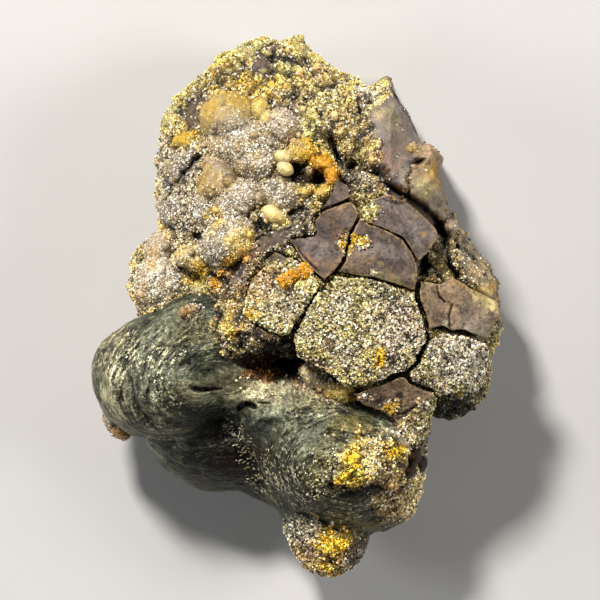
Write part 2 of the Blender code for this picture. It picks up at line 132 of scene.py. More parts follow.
# Each plate: half the gap round it, whether druse covers it, and its corners in order, seen from above.
PLATES = {
    "sliver": (0.1, 0, [(6.1, 21.3), (8.4, 20.3), (8.8, 18), (3.9, 16.1), (5.6, 18.8)]),
    "left": (0.38, 0, [
        (3.9, 16.1), (8.8, 18), (9.9, 16.8), (10.4, 15.3), (8.8, 12.2), (8.4, 10.3), (7.6, 7.5), (6.4, 5.8),
        (4.4, 4), (0.5, 7.5), (-1.3, 10.5), (-1.7, 11.4), (2.9, 12.2), (2.4, 14.4),
    ]),
    "middle": (0.15, 0, [
        (10.4, 15.3), (11.1, 14.1), (14.3, 13), (17.3, 11.5), (18.8, 9.3), (19.8, 7.2), (19.9, 5.3),
        (19.3, 2.7), (15.4, 4), (12.1, 5), (8.9, 5.3), (6.4, 5.8), (7.6, 7.5), (8.4, 10.3), (8.8, 12.2),
    ]),
    "upper": (0.05, 0, [
        (10.4, 16.3), (12.8, 18.1), (14.8, 18.8), (18.3, 17.2), (20.5, 15.5), (22.7, 13.3), (23.4, 11.6),
        (22.1, 10), (19.9, 7.3), (18.8, 9.3), (17.3, 11.5), (14.3, 13), (11.1, 14.1), (10.4, 15.3),
    ]),
    "right": (0.25, 0, [
        (19.9, 4.7), (23.3, 4.2), (25.6, 5.3), (29.1, 3.3), (33.3, 1.2), (33.8, -1.2), (31.4, -5.5),
        (29.4, -4.7), (27.1, -3.8), (25.1, -4), (23.8, -3.2), (21.4, -3.7), (20.8, -1.2), (19.8, 1.2),
    ]),
    "druse_middle": (0.48, 1, [
        (6.4, 5.8), (8.9, 5.3), (12.1, 5), (15.4, 4), (19.3, 2.7), (19.8, 1.2), (20.8, -1.2), (21.4, -3.7),
        (21.6, -5.5), (20.9, -6.3), (20.1, -8), (19.8, -9), (17.9, -10.7), (16.6, -10.7), (14.3, -12),
        (11.1, -13), (8.1, -13.5), (5.4, -11.2), (2, -9.3), (-0.3, -8.2), (-1.1, -4.7), (0.3, -2.2),
        (2.4, 1.5), (4.4, 4),
    ]),
    "druse_right": (0.25, 1, [
        (21.8, -5), (23.8, -3.8), (25.1, -4.3), (27.1, -4.2), (29.4, -5.2), (31.3, -5.8), (31.9, -7.3),
        (31.6, -9.5), (31.3, -12.8), (29.6, -14), (26.3, -14), (23.3, -14.7), (22.4, -13.3), (20.6, -12.8),
        (18.8, -11.8), (17.9, -10.7), (19.8, -9), (20.1, -8), (20.9, -6.3),
    ]),
    "druse_left": (0.42, 1, [
        (4.1, 3.7), (2.4, 1.5), (0.3, -2.2), (-1.2, -4.5), (-3, -4.7), (-5.4, -3.6), (-7.4, -2.7),
        (-9.2, -1.2), (-8.7, 1.8), (-7.8, 4.6), (-5.9, 6.6), (-5.2, 8.6), (-3.8, 9.7), (-1.3, 8.8),
        (0.9, 7.7), (2.6, 6.3),
    ]),
    "brown": (0.2, 0, [
        (8.8, -14), (11.1, -13.3), (14.3, -12.3), (16.6, -11.2), (17.9, -11.2), (18.6, -12.3), (20.6, -13.3),
        (22.4, -13.8), (23.3, -15.3), (22.4, -18.7), (22.1, -21.2), (20.4, -24.5), (17.9, -22), (15.8, -18.3),
        (13.8, -17.3), (10.8, -16.2),
    ]),
}

# Round lumps: centre, half sizes, turn, colour, how much it sparkles, and how bumpy it is.
LUMPS = [
    # the great lump and those beside it
    ((-11.5, 31.4, 27.4), (4.8, 4.4, 6.2), 0, "amber", 0.25, 0.5),
    ((-8.3, 27, 28.4), (6.9, 4.8, 5.2), -15, "ash", 1, 0.8),
    ((-6.4, 24.2, 30.4), (3.6, 3.4, 4.2), 20, "ash", 1, 0.8),
    ((-2.5, 30, 28.6), (3.1, 3, 4.4), 0, "pink", 0.6, 0.6),
    ((-6.6, 32.6, 28.4), (1.6, 2.2, 3), -20, "straw", 0.3, 1),
    ((-5.3, 31.4, 29.8), (1.2, 1.3, 1.8), 0, "straw", 0.2, 1),
    # the clear one, and the row and the long one below
    ((-13.1, 21.2, 29.2), (3.2, 3.6, 4.6), 0, "honey", 0.2, 0.9),
    ((-11.5, 21, 32.6), (1, 0.9, 1.3), 0, "honey", 0.2, 0.9),
    ((-8.6, 23.4, 32.4), (1.6, 1.1, 1.6), 10, "honey", 0.3, 0.8),
    ((-9.4, 17.9, 31), (4.4, 2.9, 3.8), 25, "ash", 1, 0.8),
    ((-11.4, 11.3, 31), (5.1, 3.8, 5), 35, "ash", 0.9, 0.8),
    ((-18.2, 8.8, 26.2), (2.5, 1.9, 3.6), 20, "cream", 0.7, 0.7),
    ((-16.4, 7.4, 27.6), (1.5, 1.3, 2.2), 0, "gold", 0.6, 1),
    # the far left
    ((-23.2, 4.6, 23.4), (3.9, 3.9, 5), 0, "pearl", 1, 0.7),
    ((-22.6, 9.8, 21.4), (2.9, 2.6, 4), 0, "pink", 0.4, 0.6),
    ((-17.6, 22.8, 24.6), (3.3, 4.5, 5), 12, "grey", 0.9, 1.2),
    ((-18.9, 16.4, 23.4), (3.7, 3.9, 5), 0, "grey", 1, 1.2),
    ((-15, 16, 27.4), (2.8, 3.2, 4.2), 0, "grey", 1, 1.1),
    # beside the plates
    ((-2.8, 18.9, 32.6), (3.6, 2.5, 3.4), -8, "grey", 1, 1),
    ((-6, 18.3, 33), (1.2, 1.2, 2), 0, "honey", 0.2, 0.7),
    ((0.9, 19.4, 33.8), (1.3, 1, 1.8), 0, "straw", 0.5, 1.2),
    # the pale ones, and the ring round the hole
    ((-2.4, 25, 34.6), (1.4, 0.95, 1.7), -15, "butter", 0.1, 0.4),
    ((-2, 22.9, 34.9), (1.4, 1.05, 1.7), -30, "butter", 0.1, 0.4),
    ((0.6, 25.6, 32.2), (2, 1.4, 3.2), -10, "gold", 0.7, 1.8),
    ((4, 23.7, 33.2), (2, 0.95, 2.6), -18, "orange", 0.6, 1.6),
    ((5.6, 21.4, 34.2), (0.8, 1.9, 2.6), -4, "orange", 0.7, 1.8),
    ((4.6, 19.2, 34.4), (1.2, 0.9, 2.2), 10, "straw", 0.8, 2),
    ((1.8, 22.1, 33), (0.75, 1.1, 2), -10, "cream", 0.9, 1.8),
    ((-3.9, 15.3, 35.1), (2.1, 1.2, 1.6), -36, "butter", 0.1, 0.5),
    # the orange spots
    ((-1.3, 4.8, 39.9), (1.6, 1.2, 1.5), 15, "orange", 0.9, 2.2),
    ((1.2, 5.9, 40.1), (1.2, 1.2, 1.4), 60, "orange", 0.9, 2.2),
    # knobs at the crust's edge
    ((-18, 27.8, 24.2), (2.8, 1.4, 3.6), 6, "gold", 0.2, 0.9),
    ((-20.6, 31, 17), (1.9, 1.9, 3), 0, "khaki", 0.6, 1.3),
    ((-1, 42.6, 17.4), (2.3, 2.3, 4.2), 0, "khaki", 0.8, 1.2),
    ((-8.6, 41.8, 18), (2.4, 2, 4), 0, "khaki", 0.7, 1.4),
    ((-18.4, 33.6, 17.4), (2.4, 2.6, 4), 0, "khaki", 0.6, 1.4),
    ((25.3, 13.3, 24.4), (1.4, 1.5, 4), 0, "dusk", 0.2, 0.7),
    # knobs on the nodule, the spire and below the plates
    ((18.9, -24.6, 26.4), (1.5, 1.5, 3.1), 0, "umber", 0, 0.6),
    ((18.2, -27, 26), (1.3, 1.2, 3), 0, "umber", 0, 0.6),
    ((20.3, -26, 22.6), (1.2, 1.4, 3.2), 0, "umber", 0, 0.6),
    ((-29.6, -20.6, 14.5), (1.6, 1.3, 3), -30, "apricot", 0.5, 1.2),
    ((-31.2, -18.4, 15), (1.2, 1.6, 2.8), 0, "pink", 0.5, 1),
    ((-15.9, 3, 25.8), (1.4, 1.1, 1.6), 0, "khaki", 0.6, 1.4),
    ((-17.6, -1.2, 30.8), (1.5, 1.6, 0.9), 0, "tan", 1, 2.8),
    ((19, 25.9, 34), (0.6, 1.1, 1.6), 0, "honey", 0.3, 1),
    ((2.8, -11.4, 30.2), (3.2, 1.3, 3.2), -30, "cream", 0.6, 1.8),
    ((7.4, -14.2, 30.4), (2.8, 1.1, 3), -18, "straw", 0.5, 1.8),
]
# How near a lump begins to swell towards another, and how far the colours of two mingle.
LUMP_BLEND = 1.4
LUMP_MINGLE = 0.5

# Where the metal's streaks run in rings: centre, half sizes and turn.
SWIRLS = (
    ((-14, -12.7, 33), (1.25, 1, 1), 35),
    ((7.9, -27.2, 35), (1.35, 1, 1), -10),
)
# Slits in the metal: middle, half length, half width, turn and depth.
SLITS = (
    ((-16.2, -13.5), 1.5, 0.46, -6, 1.3),
    ((-14.0, -13.3), 1.7, 0.34, 6, 0.9),
    ((-9.0, -16.2), 1.2, 0.50, 32, 1.5),
    ((-7.7, -16.0), 1.1, 0.45, -28, 1.4),
    ((-5.6, -15.8), 1.2, 0.15, -4, 0.4),
)

# ---------------------------------------------------------------- colours and painted places

# The darkest colour, nearly black, is painted shade in cracks, holes, pits, cavities and plate walls.
COLOURS = {
    "khaki": (172, 158, 92), "olive": (112, 103, 62), "gold": (192, 152, 34), "cream": (194, 172, 118),
    "straw": (206, 174, 84), "ash": (154, 140, 116), "pearl": (188, 175, 150), "pink": (172, 155, 131),
    "apricot": (186, 138, 58), "amber": (160, 136, 84), "honey": (164, 137, 88), "tan": (162, 130, 82),
    "orange": (202, 138, 2), "rust": (132, 78, 20), "brown": (86, 64, 40), "umber": (46, 29, 15),
    "mauve": (83, 68, 58), "plum": (60, 47, 41), "slate": (112, 101, 95), "grey": (138, 126, 106),
    "steel": (80, 82, 66), "blue steel": (80, 86, 76), "green steel": (102, 105, 84), "brass": (106, 97, 60),
    "pale steel": (126, 128, 104), "butter": (226, 202, 136), "drab": (180, 168, 128), "dusk": (152, 127, 99),
    "glitter": (240, 230, 188), "dark": (18, 14, 8), "pit shade": (5, 4, 3), "white": (250, 247, 236),
    "paper": (178, 176, 173), "paper shade": (175, 173, 170),
}


def linear(name):
    """A named colour as light sees it."""
    return np.power(np.array(COLOURS[name]) / 255.0, 2.2)


# Painted places, seen from above: x, y, half sizes, turn, colour and strength. Each covers those before it.
CRUST_SPOTS = [
    # the top
    (-9.6, 37, 6, 4, 0, "gold", 0.9), (-5.9, 40, 1.8, 1.9, 0, "mauve", 1),
    (-13.5, 36.5, 3.5, 2.5, 30, "brass", 0.6), (6.5, 31, 3, 5, 25, "cream", 0.4),
    (-16.4, 31.6, 2.4, 4.6, -20, "mauve", 0.8),
    # the left edge, field and foot
    (-22.2, 25, 2.4, 6, 0, "pink", 0.7), (-18.5, 18.5, 5, 9.5, 0, "ash", 0.9),
    (-22.4, 13.5, 1.6, 2.2, 0, "gold", 0.7), (-24.5, 1.5, 5, 6, 0, "cream", 0.9),
    (-28.6, -3.4, 2.2, 3, 30, "orange", 0.8),
    # the seam over the nodule, and beside the plates
    (-22, 1.2, 6, 0.9, 38, "gold", 0.8), (-12.4, 4.6, 4.2, 4, 30, "brown", 0.7),
    (-14.2, 6.2, 5.6, 1.2, 18, "gold", 0.6), (-9.2, 5.6, 2.6, 2.4, -40, "dusk", 0.8),
    (-4.2, 10.6, 5, 2.2, 25, "mauve", 0.85), (-3.6, 13.6, 5, 2.2, 20, "umber", 0.75),
    (0.4, 13.2, 2, 2.4, 0, "grey", 0.6), (1.4, 13.8, 1.9, 2.4, 10, "grey", 0.7),
    # behind the plates, the spire's foot and the shoulder
    (9.6, 21.8, 3.4, 2.4, -20, "grey", 0.9), (10.6, 16.9, 1.2, 1.4, 0, "cream", 0.9),
    (13.6, 22.6, 2.2, 3.6, 35, "tan", 0.7), (11.8, 35.4, 2.6, 2, 35, "pearl", 0.9),
    (14, 33, 1.6, 2.6, -20, "khaki", 0.9), (21.6, 22.6, 3, 3.6, 0, "dusk", 0.8),
    (22.8, 17.6, 2.4, 3.4, 30, "slate", 0.8), (17.6, 20, 1.3, 1, -40, "orange", 0.9),
    # the right side
    (27, 9.4, 5.5, 4.4, -45, "honey", 0.8), (23.8, 9.4, 1.3, 3, 10, "umber", 0.6),
    (29.8, 5.9, 1.3, 1.1, 0, "orange", 1), (33, 0.8, 3, 4.6, 0, "cream", 0.9),
    # the ledge, with painted shade below it, in the cavity and on the right underside
    (-5.8, -5.2, 5.4, 2.4, -8, "brown", 0.85), (-10.9, -2.4, 1.6, 3.2, 0, "gold", 0.4),
    (-4, -8.4, 6.8, 1, -8, "dark", 0.9), (-2.6, -8.2, 3.8, 3.2, 0, "pit shade", 1),
    (27, -17, 5.5, 2.8, 15, "dark", 0.9),
    # smaller patches over these, among them a painted highlight on the ledge
    (-8, -2.4, 3, 1.3, -10, "honey", 0.7), (9.6, 30.6, 2.6, 4.6, 20, "tan", 0.5),
    (-10.4, 40.2, 3.4, 1.2, 20, "brown", 0.5), (2.4, 38.6, 2.4, 2, 0, "tan", 0.6),
    (-10.4, 6.8, 5.6, 1.2, 38, "orange", 0.9), (-26.4, -0.2, 3.6, 2.4, 30, "straw", 0.6),
    (-9.4, 37.2, 4.4, 2.6, 0, "olive", 0.4), (-7.5, 7, 1.8, 1.2, 38, "brown", 0.8),
]
SMOOTH_SPOTS = [
    # the spire
    (15.6, 31, 1.1, 2.3, 10, "khaki", 0.33), (15.5, 31.6, 0.6, 1.2, 10, "olive", 0.3),
    (14.6, 24.2, 1.8, 2.4, 30, "rust", 0.3), (17.3, 23.6, 1.1, 4.8, 8, "ash", 0.4),
    (17, 35.4, 0.9, 1.8, -25, "pink", 0.45),
    # the shoulder
    (21.8, 22.2, 1.7, 2, -15, "honey", 0.7), (21.1, 18.4, 1.6, 0.7, -15, "khaki", 0.6),
    (20.3, 19.8, 1.8, 1.2, -20, "drab", 0.85), (16.8, 19.3, 0.9, 0.6, -40, "orange", 0.95),
    (22.8, 17.6, 2, 1.5, 30, "slate", 0.7),
    # edges and spots on both
    (13.4, 32.2, 0.8, 1.4, 10, "cream", 0.5), (23, 21.8, 0.7, 1.8, 10, "apricot", 0.7),
    (23.2, 16, 1.4, 0.5, -30, "pearl", 0.6), (16.4, 28, 1.9, 4, 12, "mauve", 0.6),
    (21.5, 19.3, 0.4, 0.25, -20, "umber", 0.9),
    # the right edge, and painted light on the shoulder
    (32.2, 1.8, 1.9, 2.6, -30, "butter", 0.7), (33.2, 2.6, 0.8, 2.4, 30, "apricot", 0.6),
    (22.2, 22.8, 0.6, 1.6, -25, "gold", 0.35), (21.2, 19.9, 1.6, 1.1, -20, "butter", 0.45),
]
NODULE_SPOTS = [
    # the rolled edge
    (-31, -10.5, 3, 9, 4, "pale steel", 0.95), (-24, -21.5, 6.5, 2, -38, "green steel", 0.6),
    (-29.5, -4.6, 2.4, 1.8, 30, "tan", 0.3),
    # the nose and the slit
    (-18.6, -2.6, 5, 5, 0, "pale steel", 0.35), (-13.7, 0.5, 1.6, 3.2, 0, "blue steel", 0.9),
    (-17.6, -4.4, 4.4, 2.2, 15, "brass", 0.6), (-15.2, -13.2, 5.4, 2.8, 0, "pale steel", 0.8),
    (-18.6, -14.8, 2.8, 1.2, -20, "drab", 0.4),
    # the saddle and the right lobe
    (-6.4, -12.9, 6.4, 3, 4, "drab", 0.65), (-10.4, -12.2, 3.2, 2.2, 0, "drab", 0.65),
    (3.1, -21.7, 3, 3.2, 0, "steel", 0.8), (-6.4, -19.8, 2.8, 1.8, 20, "blue steel", 0.8),
    (9.1, -18.9, 3.4, 1.7, 0, "olive", 0.9), (9.6, -35.8, 6, 2, -10, "olive", 0.6),
    # painted shade on the underside and the lower side
    (-13.4, -20.4, 5.8, 2, -18, "dark", 0.8), (-12.4, -25.6, 9.5, 5.8, -24, "dark", 0.93),
    (-9.2, -24, 4.4, 3.4, -30, "umber", 0.5), (-10.4, -22, 1.4, 4.6, 20, "dark", 0.7),
    (3.4, -34, 5.5, 2.4, -24, "dark", 0.35), (13, -35.4, 5, 2.4, 30, "dark", 0.2),
    # the right end and its druse, with painted shade in the groove at its foot and in a pit
    (18.2, -19.8, 2.6, 3, 0, "pearl", 0.85), (5, -26.6, 3.4, 5.4, -25, "brass", 0.7),
    (12, -24.8, 4.9, 4.3, 10, "cream", 0.95), (9.2, -24.8, 1.6, 3.6, -12, "gold", 0.95),
    (16.2, -23.6, 1.8, 1.6, 0, "gold", 0.95), (16, -28.2, 3.2, 2.4, 10, "tan", 0.9),
    (11, -30.2, 5, 1, 4, "dark", 0.9), (17, -31, 1.7, 0.8, 30, "pit shade", 0.9),
    (17, -32, 3.8, 3.2, 35, "tan", 0.8),
    # the tip
    (4, -41, 5.6, 4.6, 0, "tan", 0.9), (6.2, -39.2, 3.4, 2.4, -10, "gold", 0.95),
    (5.4, -43, 1.4, 1.6, 0, "gold", 0.9), (1, -37.4, 2.6, 1.8, 20, "grey", 0.9),
    (9.4, -41.2, 2.6, 1.5, 35, "mauve", 0.9),
    # round the cavity and under the plates: painted shade in the cavity, below the ledge and in a hole, with
    # drab and rust
    (-3.6, -9.4, 8.6, 2.2, -10, "dark", 0.85), (-2.7, -8.2, 3.8, 3, 0, "pit shade", 1),
    (3.4, -15, 5, 2, -8, "drab", 0.35), (10, -14.4, 1.4, 0.8, 0, "pit shade", 0.9),
    (5.6, -13.8, 4.6, 1.2, -20, "rust", 0.6),
    # smaller patches over these, among them painted highlights round the slit and painted shade below the
    # slit's bump
    (9, -28.2, 2.8, 1.3, 10, "gold", 0.9), (19.4, -30, 2.4, 5, -10, "cream", 0.7),
    (-24.6, -9, 6, 7, 0, "pale steel", 0.4), (-15.2, -13, 3.4, 1.2, 3, "drab", 0.35),
    (-16.2, -17.4, 5, 1.3, -14, "dark", 0.55), (-17.6, -1.2, 2.4, 2.4, 0, "umber", 0.5),
    (-5.4, -10.6, 3, 1.5, 0, "rust", 0.8), (-4.8, -10.2, 1.4, 0.6, 0, "orange", 0.4),
    (-30.8, -12, 2.2, 7.5, 5, "drab", 0.45),
]
PLATE_SPOTS = [
    # ground colours
    (18.4, 16, 7, 4, -32, "slate", 0.7), (16.4, -14.6, 8, 4, 10, "dusk", 0.9),
    (25.8, 0.4, 7, 6, 0, "dusk", 0.95),
    # the left, middle and upper plates
    (4.8, 13.6, 3.2, 2.6, 0, "plum", 0.6), (7.9, 10.2, 1.1, 1.5, 20, "gold", 0.9),
    (6.4, 12.4, 1, 1.4, 0, "rust", 0.2), (10, 11.2, 1.8, 1, -30, "gold", 0.9),
    (15.6, 18.6, 1.4, 0.5, -25, "orange", 1), (11.6, 15.9, 1.6, 1.6, 0, "khaki", 0.9),
    (19.4, 15, 0.5, 0.3, -40, "gold", 0.4), (15.8, 14.6, 2.2, 1, -20, "plum", 0.6),
    (15.4, 9, 2.6, 1.2, -10, "slate", 0.7), (11.6, 8.2, 1.2, 0.8, 0, "tan", 0.25),
    (12.2, 5.8, 1, 0.4, 0, "pearl", 0.9),
    # the right plate, and a corner of the left
    (31.6, 1.4, 3.2, 2.1, -30, "butter", 0.9), (27.6, 3.6, 3.6, 0.5, -25, "tan", 0.7),
    (24.4, -2, 2.6, 1.4, -10, "brown", 0.5), (1.6, 8.4, 1.8, 1.8, 40, "slate", 0.5),
    # the druse plates
    (13.8, 3.4, 6.4, 2.2, -12, "olive", 0.55), (15, -2, 5, 4, -30, "ash", 0.6),
    (13.6, -8.2, 0.9, 1.6, 0, "gold", 0.95), (15, -8.2, 0.6, 1.1, 0, "brown", 0.9),
    (5, -5.6, 1.4, 1.4, 0, "brown", 0.7), (3.2, -9.4, 3.6, 1.6, -28, "brown", 0.85),
    (8.6, -11.6, 3.6, 1.4, -14, "khaki", 0.6), (-7.2, -1, 1.3, 1.4, 0, "gold", 0.9),
    (-4, -1.6, 3, 2.2, 0, "pearl", 0.1), (-5.8, 4.2, 2.4, 3.4, -35, "tan", 0.7),
    (-2.4, 8.9, 3.6, 1.4, 10, "mauve", 0.95), (27, -8, 6, 5, 0, "pearl", 0.85),
    # the brown plate, with painted shade in two pits
    (13.6, -15.2, 0.9, 0.6, 20, "pit shade", 0.9), (16.8, -14.4, 0.8, 0.7, 0, "pit shade", 0.8),
    (15.4, -16.2, 1.4, 1.1, 30, "gold", 0.9), (19.2, -19.8, 2.6, 3.6, -20, "cream", 0.85),
    (22.4, -16.6, 0.8, 3, -10, "khaki", 0.8), (20.2, -23.2, 1.2, 1, 0, "umber", 0.9),
    # smaller patches over these
    (29.6, -1.6, 3.6, 2.6, -20, "slate", 0.5), (13, -15.2, 3.4, 1.2, 8, "umber", 0.45),
    (3.2, 9.6, 2.4, 1.4, -30, "slate", 0.6), (6.2, 14.8, 1.8, 1.4, 10, "brown", 0.5),
    (12, 9.4, 3.2, 1, 10, "slate", 0.6), (16.6, 6.8, 2, 1.2, -20, "plum", 0.6),
    (19.4, 12.6, 1.6, 1.8, 0, "slate", 0.6), (-4.4, 2.4, 5.5, 7, 0, "brown", 0.22),
    (13.6, 7.2, 0.5, 0.4, 0, "tan", 0.6), (20.6, 12.2, 0.4, 0.4, 0, "apricot", 0.6),
    (2, 8, 1.6, 0.8, -45, "rust", 0.35),
]
LUMP_SPOTS = [
    (-14.8, 33.6, 1.6, 3.6, 0, "gold", 0.5), (-10.4, 34.8, 2.6, 1.4, -30, "gold", 0.5),
    (-10.6, 29.6, 3.4, 1.8, 0, "ash", 0.7), (-13.6, 26.4, 1.8, 2.6, 0, "honey", 0.6),
    (-0.4, 28, 1.2, 2.4, 10, "tan", 0.7), (-9.9, 8.1, 5.6, 1.5, 38, "orange", 0.95),
    (-8.8, 10.8, 3.6, 2.4, 35, "straw", 0.8), (-12.6, 23.6, 2.6, 1.2, -30, "grey", 0.6),
    (-26, 2.2, 1.4, 3.4, 0, "apricot", 0.5), (-24.4, 8.6, 1.4, 2, 0, "apricot", 0.5),
    (-20.6, 20.6, 1.2, 1, 0, "honey", 0.8), (-13.4, 15.2, 1.6, 1.6, 0, "straw", 0.7),
    (-3.2, 14.5, 1.4, 0.7, -36, "gold", 0.5), (-7.4, 6.8, 2, 1.2, 38, "brown", 0.8),
]
# The crust's smooth faces: how smooth, their colour, and their corners.
SMOOTH_FACES = [
    (1, "slate", [
        (16, 39), (22, 37), (28, 30), (28, 26), (20.8, 26.6), (19.6, 25.6), (18.6, 23), (17.4, 20.6),
        (16.6, 17.6), (14.2, 19), (15, 21.4), (13.4, 23.2), (14, 25.4), (12.4, 27.6), (12.4, 29.6),
        (11.2, 31.2), (12.9, 32), (14.6, 33.6), (15.2, 35.6),
    ]),
    (0.95, "dusk", [
        (18.8, 26.2), (20.8, 26.8), (28, 26.8), (28, 14.6), (24.6, 15.2), (22.6, 12), (19, 15), (16.8, 17.2),
        (17.4, 20.6), (18.6, 23.4),
    ]),
    (0.8, "apricot", [(28.2, 3.6), (29.6, 4.8), (34, 4.6), (36, 0), (33.4, -2.4), (30, -0.6)]),
    (0.6, "slate", [(-10.6, 4.6), (-9.6, 7.6), (-7.4, 7.4), (-8.4, 4.2)]),
    (0.8, "mauve", [(-8, 8.8), (-5, 12.2), (-0.8, 13), (-1.8, 10.6), (-4.4, 9.9), (-6.6, 8.2)]),
    (0.8, "mauve", [(-7.6, 39.4), (-6.2, 41.6), (-4.6, 41.2), (-4.6, 39), (-6, 38.4)]),
    (0.6, "mauve", [(-18.2, 29), (-17.8, 33.4), (-15.4, 35.8), (-14.8, 33.4), (-16.2, 28.8)]),
    (0.5, "dusk", [(-27.4, -1.6), (-26.4, 3), (-22.4, 6.2), (-20.6, 3.6), (-23, -0.2)]),
    (0.6, "ash", [(26.2, 11.8), (30, 12), (33, 8), (32.4, 4.4), (28.8, 3.4), (26.6, 5.4), (26, 8.4)]),
]
# Clouds of colour: the colour, the noise's low and high ends, its width, octaves and seed, and a strength.
CRUST_CLOUDS = (
    ("tan", -0.1, 0.5, 3.6, 3, 31, 0.6),
    ("brown", 0.0, 0.6, 5.0, 3, 1, 0.8),
    ("gold", 0.0, 0.6, 4.0, 3, 2, 0.45),
    ("cream", 0.1, 0.7, 3.0, 3, 21, 0.6),
)
METAL_CLOUDS = (("green steel", -0.3, 0.5, 8.0, 2, 22, 1), ("brass", 0.0, 0.7, 5.0, 3, 23, 0.5))
STEEP_CLOUDS = (("brown", -0.2, 0.5, 5.0, 3, 51, 1), ("honey", 0.0, 0.6, 3.4, 3, 52, 0.6))

# Places with a strength only: x, y, half sizes, turn and strength.
# Where the metal glitters, painted as pale flecks and flakes, where its skin is calm, and where crystals grow
# on it.
GLINTS = [
    (-31, -11, 2.4, 7, 5, 0.45), (-28.2, -7.4, 1.7, 3.6, -20, 1), (-24.2, -8.7, 2.2, 2.4, 0, 0.9),
    (-23.1, -11.8, 1.5, 1.2, 0, 1), (-21.6, -14.6, 2.6, 2.6, -45, 0.8), (-22.4, -20.4, 6, 1.7, -38, 0.5),
    (-20.6, -8.4, 4.4, 1.4, 15, 0.5), (-8.2, -25.2, 1.8, 6.8, 22, 1), (-2.6, -27.6, 3.6, 4.6, 40, 1),
    (1, -31.6, 3.4, 2, -40, 0.8), (0.6, -17.4, 7, 1, 10, 0.6), (1.6, -25.4, 3, 3.4, 0, 0.45),
    (6, -33, 4.4, 1.8, -20, 0.4), (9, -33.6, 5, 1.6, 4, 0.7), (14.6, -31.6, 3, 2.6, 20, 0.6),
]
CALM = [
    (-15.4, 0.5, 4, 5, 0, 0.8), (-15.2, -13.2, 5, 2.6, 0, 1), (-5.4, -14.5, 7, 3, 0, 1),
    (3.1, -21.7, 2.8, 3, 0, 0.9), (9.1, -18.8, 3.2, 1.6, 0, 0.9), (9.6, -35.7, 6, 2, -10, 0.8),
    (18.2, -19.8, 2.6, 3, 0, 0.8), (-12.4, -25.6, 9, 5.4, -24, 1),
]
GROWTHS = [
    (12.4, -25.2, 5.2, 4.8, 10, 1), (5.2, -26.6, 2.8, 4.8, -25, 0.75), (17, -31.6, 3.6, 3.6, 35, 0.9),
    (4, -41.2, 5.8, 4.6, 0, 1), (1, -37, 2.8, 2, 20, 0.9), (-2.6, -12.8, 7, 2, 6, 0.12),
    (-5.4, -10.8, 2.8, 1.3, 0, 0.8), (-17.2, -1, 1.4, 1.7, 0, 0.9), (5.8, -13.6, 5, 1.3, -20, 0.8),
    (19.6, -29.6, 2, 5, -10, 0.9),
]
# Where crystals grow on a bare plate, and where a druse plate has none.
PLATE_GROWTHS = [
    (7.9, 10.2, 1.2, 1.6, 20, 1), (10, 11.2, 1.9, 1.1, -30, 1), (12.2, 5.8, 1, 0.5, 0, 1),
    (15.6, 18.6, 1.5, 0.5, -25, 1), (11.6, 15.9, 1.7, 1.7, 0, 1), (15.4, -16.2, 1.4, 1.2, 30, 1),
    (19.6, -19.6, 2.4, 3.6, -20, 1), (22.6, -16.6, 0.8, 3, -10, 0.9), (11.6, -14.6, 2.2, 0.5, 10, 0.6),
]
DRUSE_END = (-2.4, 9.2, 4.2, 1.4, 10)
# Where the crust swells, and where it is deep between its knobs.
BULGES = [
    (21.8, 24.4, 2, 1.4, 0, 0.9), (23, 21, 1.8, 2.2, 10, 0.15), (30.4, 6, 2.4, 1.6, -40, 0.6),
]
HOLES = [
    (0.3, 21.9, 2.5, 1.5, -22, 1), (3.3, 21.5, 1.1, 1.5, 0, 1), (6.8, 24.7, 0.6, 2, 25, 1),
    (9.6, 23, 1.8, 0.5, -20, 1), (-16.6, 11.8, 1.1, 0.5, -20, 1), (-0.2, 16, 1.6, 0.6, 10, 0.9),
    (-4.2, 42.4, 0.6, 1.8, 0, 0.9), (-2.6, -8.2, 3.6, 2.6, 0, 1), (19.9, 24.1, 1.4, 0.45, 14, 1),
    (-18.9, 21.2, 0.9, 0.5, -50, 0.9), (-17, 24.9, 0.6, 0.4, 20, 0.8), (21, 6.8, 0.6, 1.4, 0, 1),
    (24.1, 10.4, 0.6, 1.2, -10, 0.9),
]
# Hairline cracks across the plates and the crust, and wider cracks through the crust.
HAIRLINES = [
    [(4, 16.2), (6.3, 17), (8.6, 18)],
    [(22.9, 4.3), (23, 2.6), (23.3, 1.8), (24.2, 1)],
    [(25.4, 0.6), (24.9, -1.4), (25.1, -3.6)],
    [(-1.2, 11), (0.8, 8.6), (3.2, 6.2)],
    [(15.1, -17.7), (17.4, -17.4), (19.4, -16.3)],
    [(-16.3, 6.6), (-12.2, 7.3), (-8.8, 9), (-5.9, 12), (-3.3, 13.3), (-2, 14.2)],
    [(6.9, 34.9), (6.9, 33), (6.6, 31.8)],
    [(18.3, 20.6), (18.4, 19.6), (18.2, 18.4)],
    [(26, 10.8), (26.6, 9.8), (27.6, 9.6), (28.4, 8.6), (29.6, 8.2), (30.4, 7.2)],
]
CRACKS = [
    [
        (9, 23.9), (12.3, 22.5), (13.9, 21), (15.1, 19.9), (17.5, 18.5), (20.2, 16.8), (22.6, 14.9),
        (24, 13.1), (24.7, 11.6),
    ],
    [(24.2, 12.6), (25, 9.6), (25.2, 7), (26.4, 5.2)],
    [(20.4, 9.6), (20.8, 7.2), (20.6, 5.4)],
    [(5.2, 28), (6.4, 25.5), (7.6, 23.9), (8.8, 23.7)],
    [(-16.5, 24.8), (-17.4, 24.2), (-17.8, 23.2), (-18.7, 22.6), (-19, 21.4), (-19.9, 20.8)],
]


# ---------------------------------------------------------------- numbers

def turned(points, degrees):
    """The points turned about +Z."""
    c, s = math.cos(math.radians(degrees)), math.sin(math.radians(degrees))
    return np.column_stack([points[:, :2] @ np.array([[c, s], [-s, c]]), points[:, 2:]])


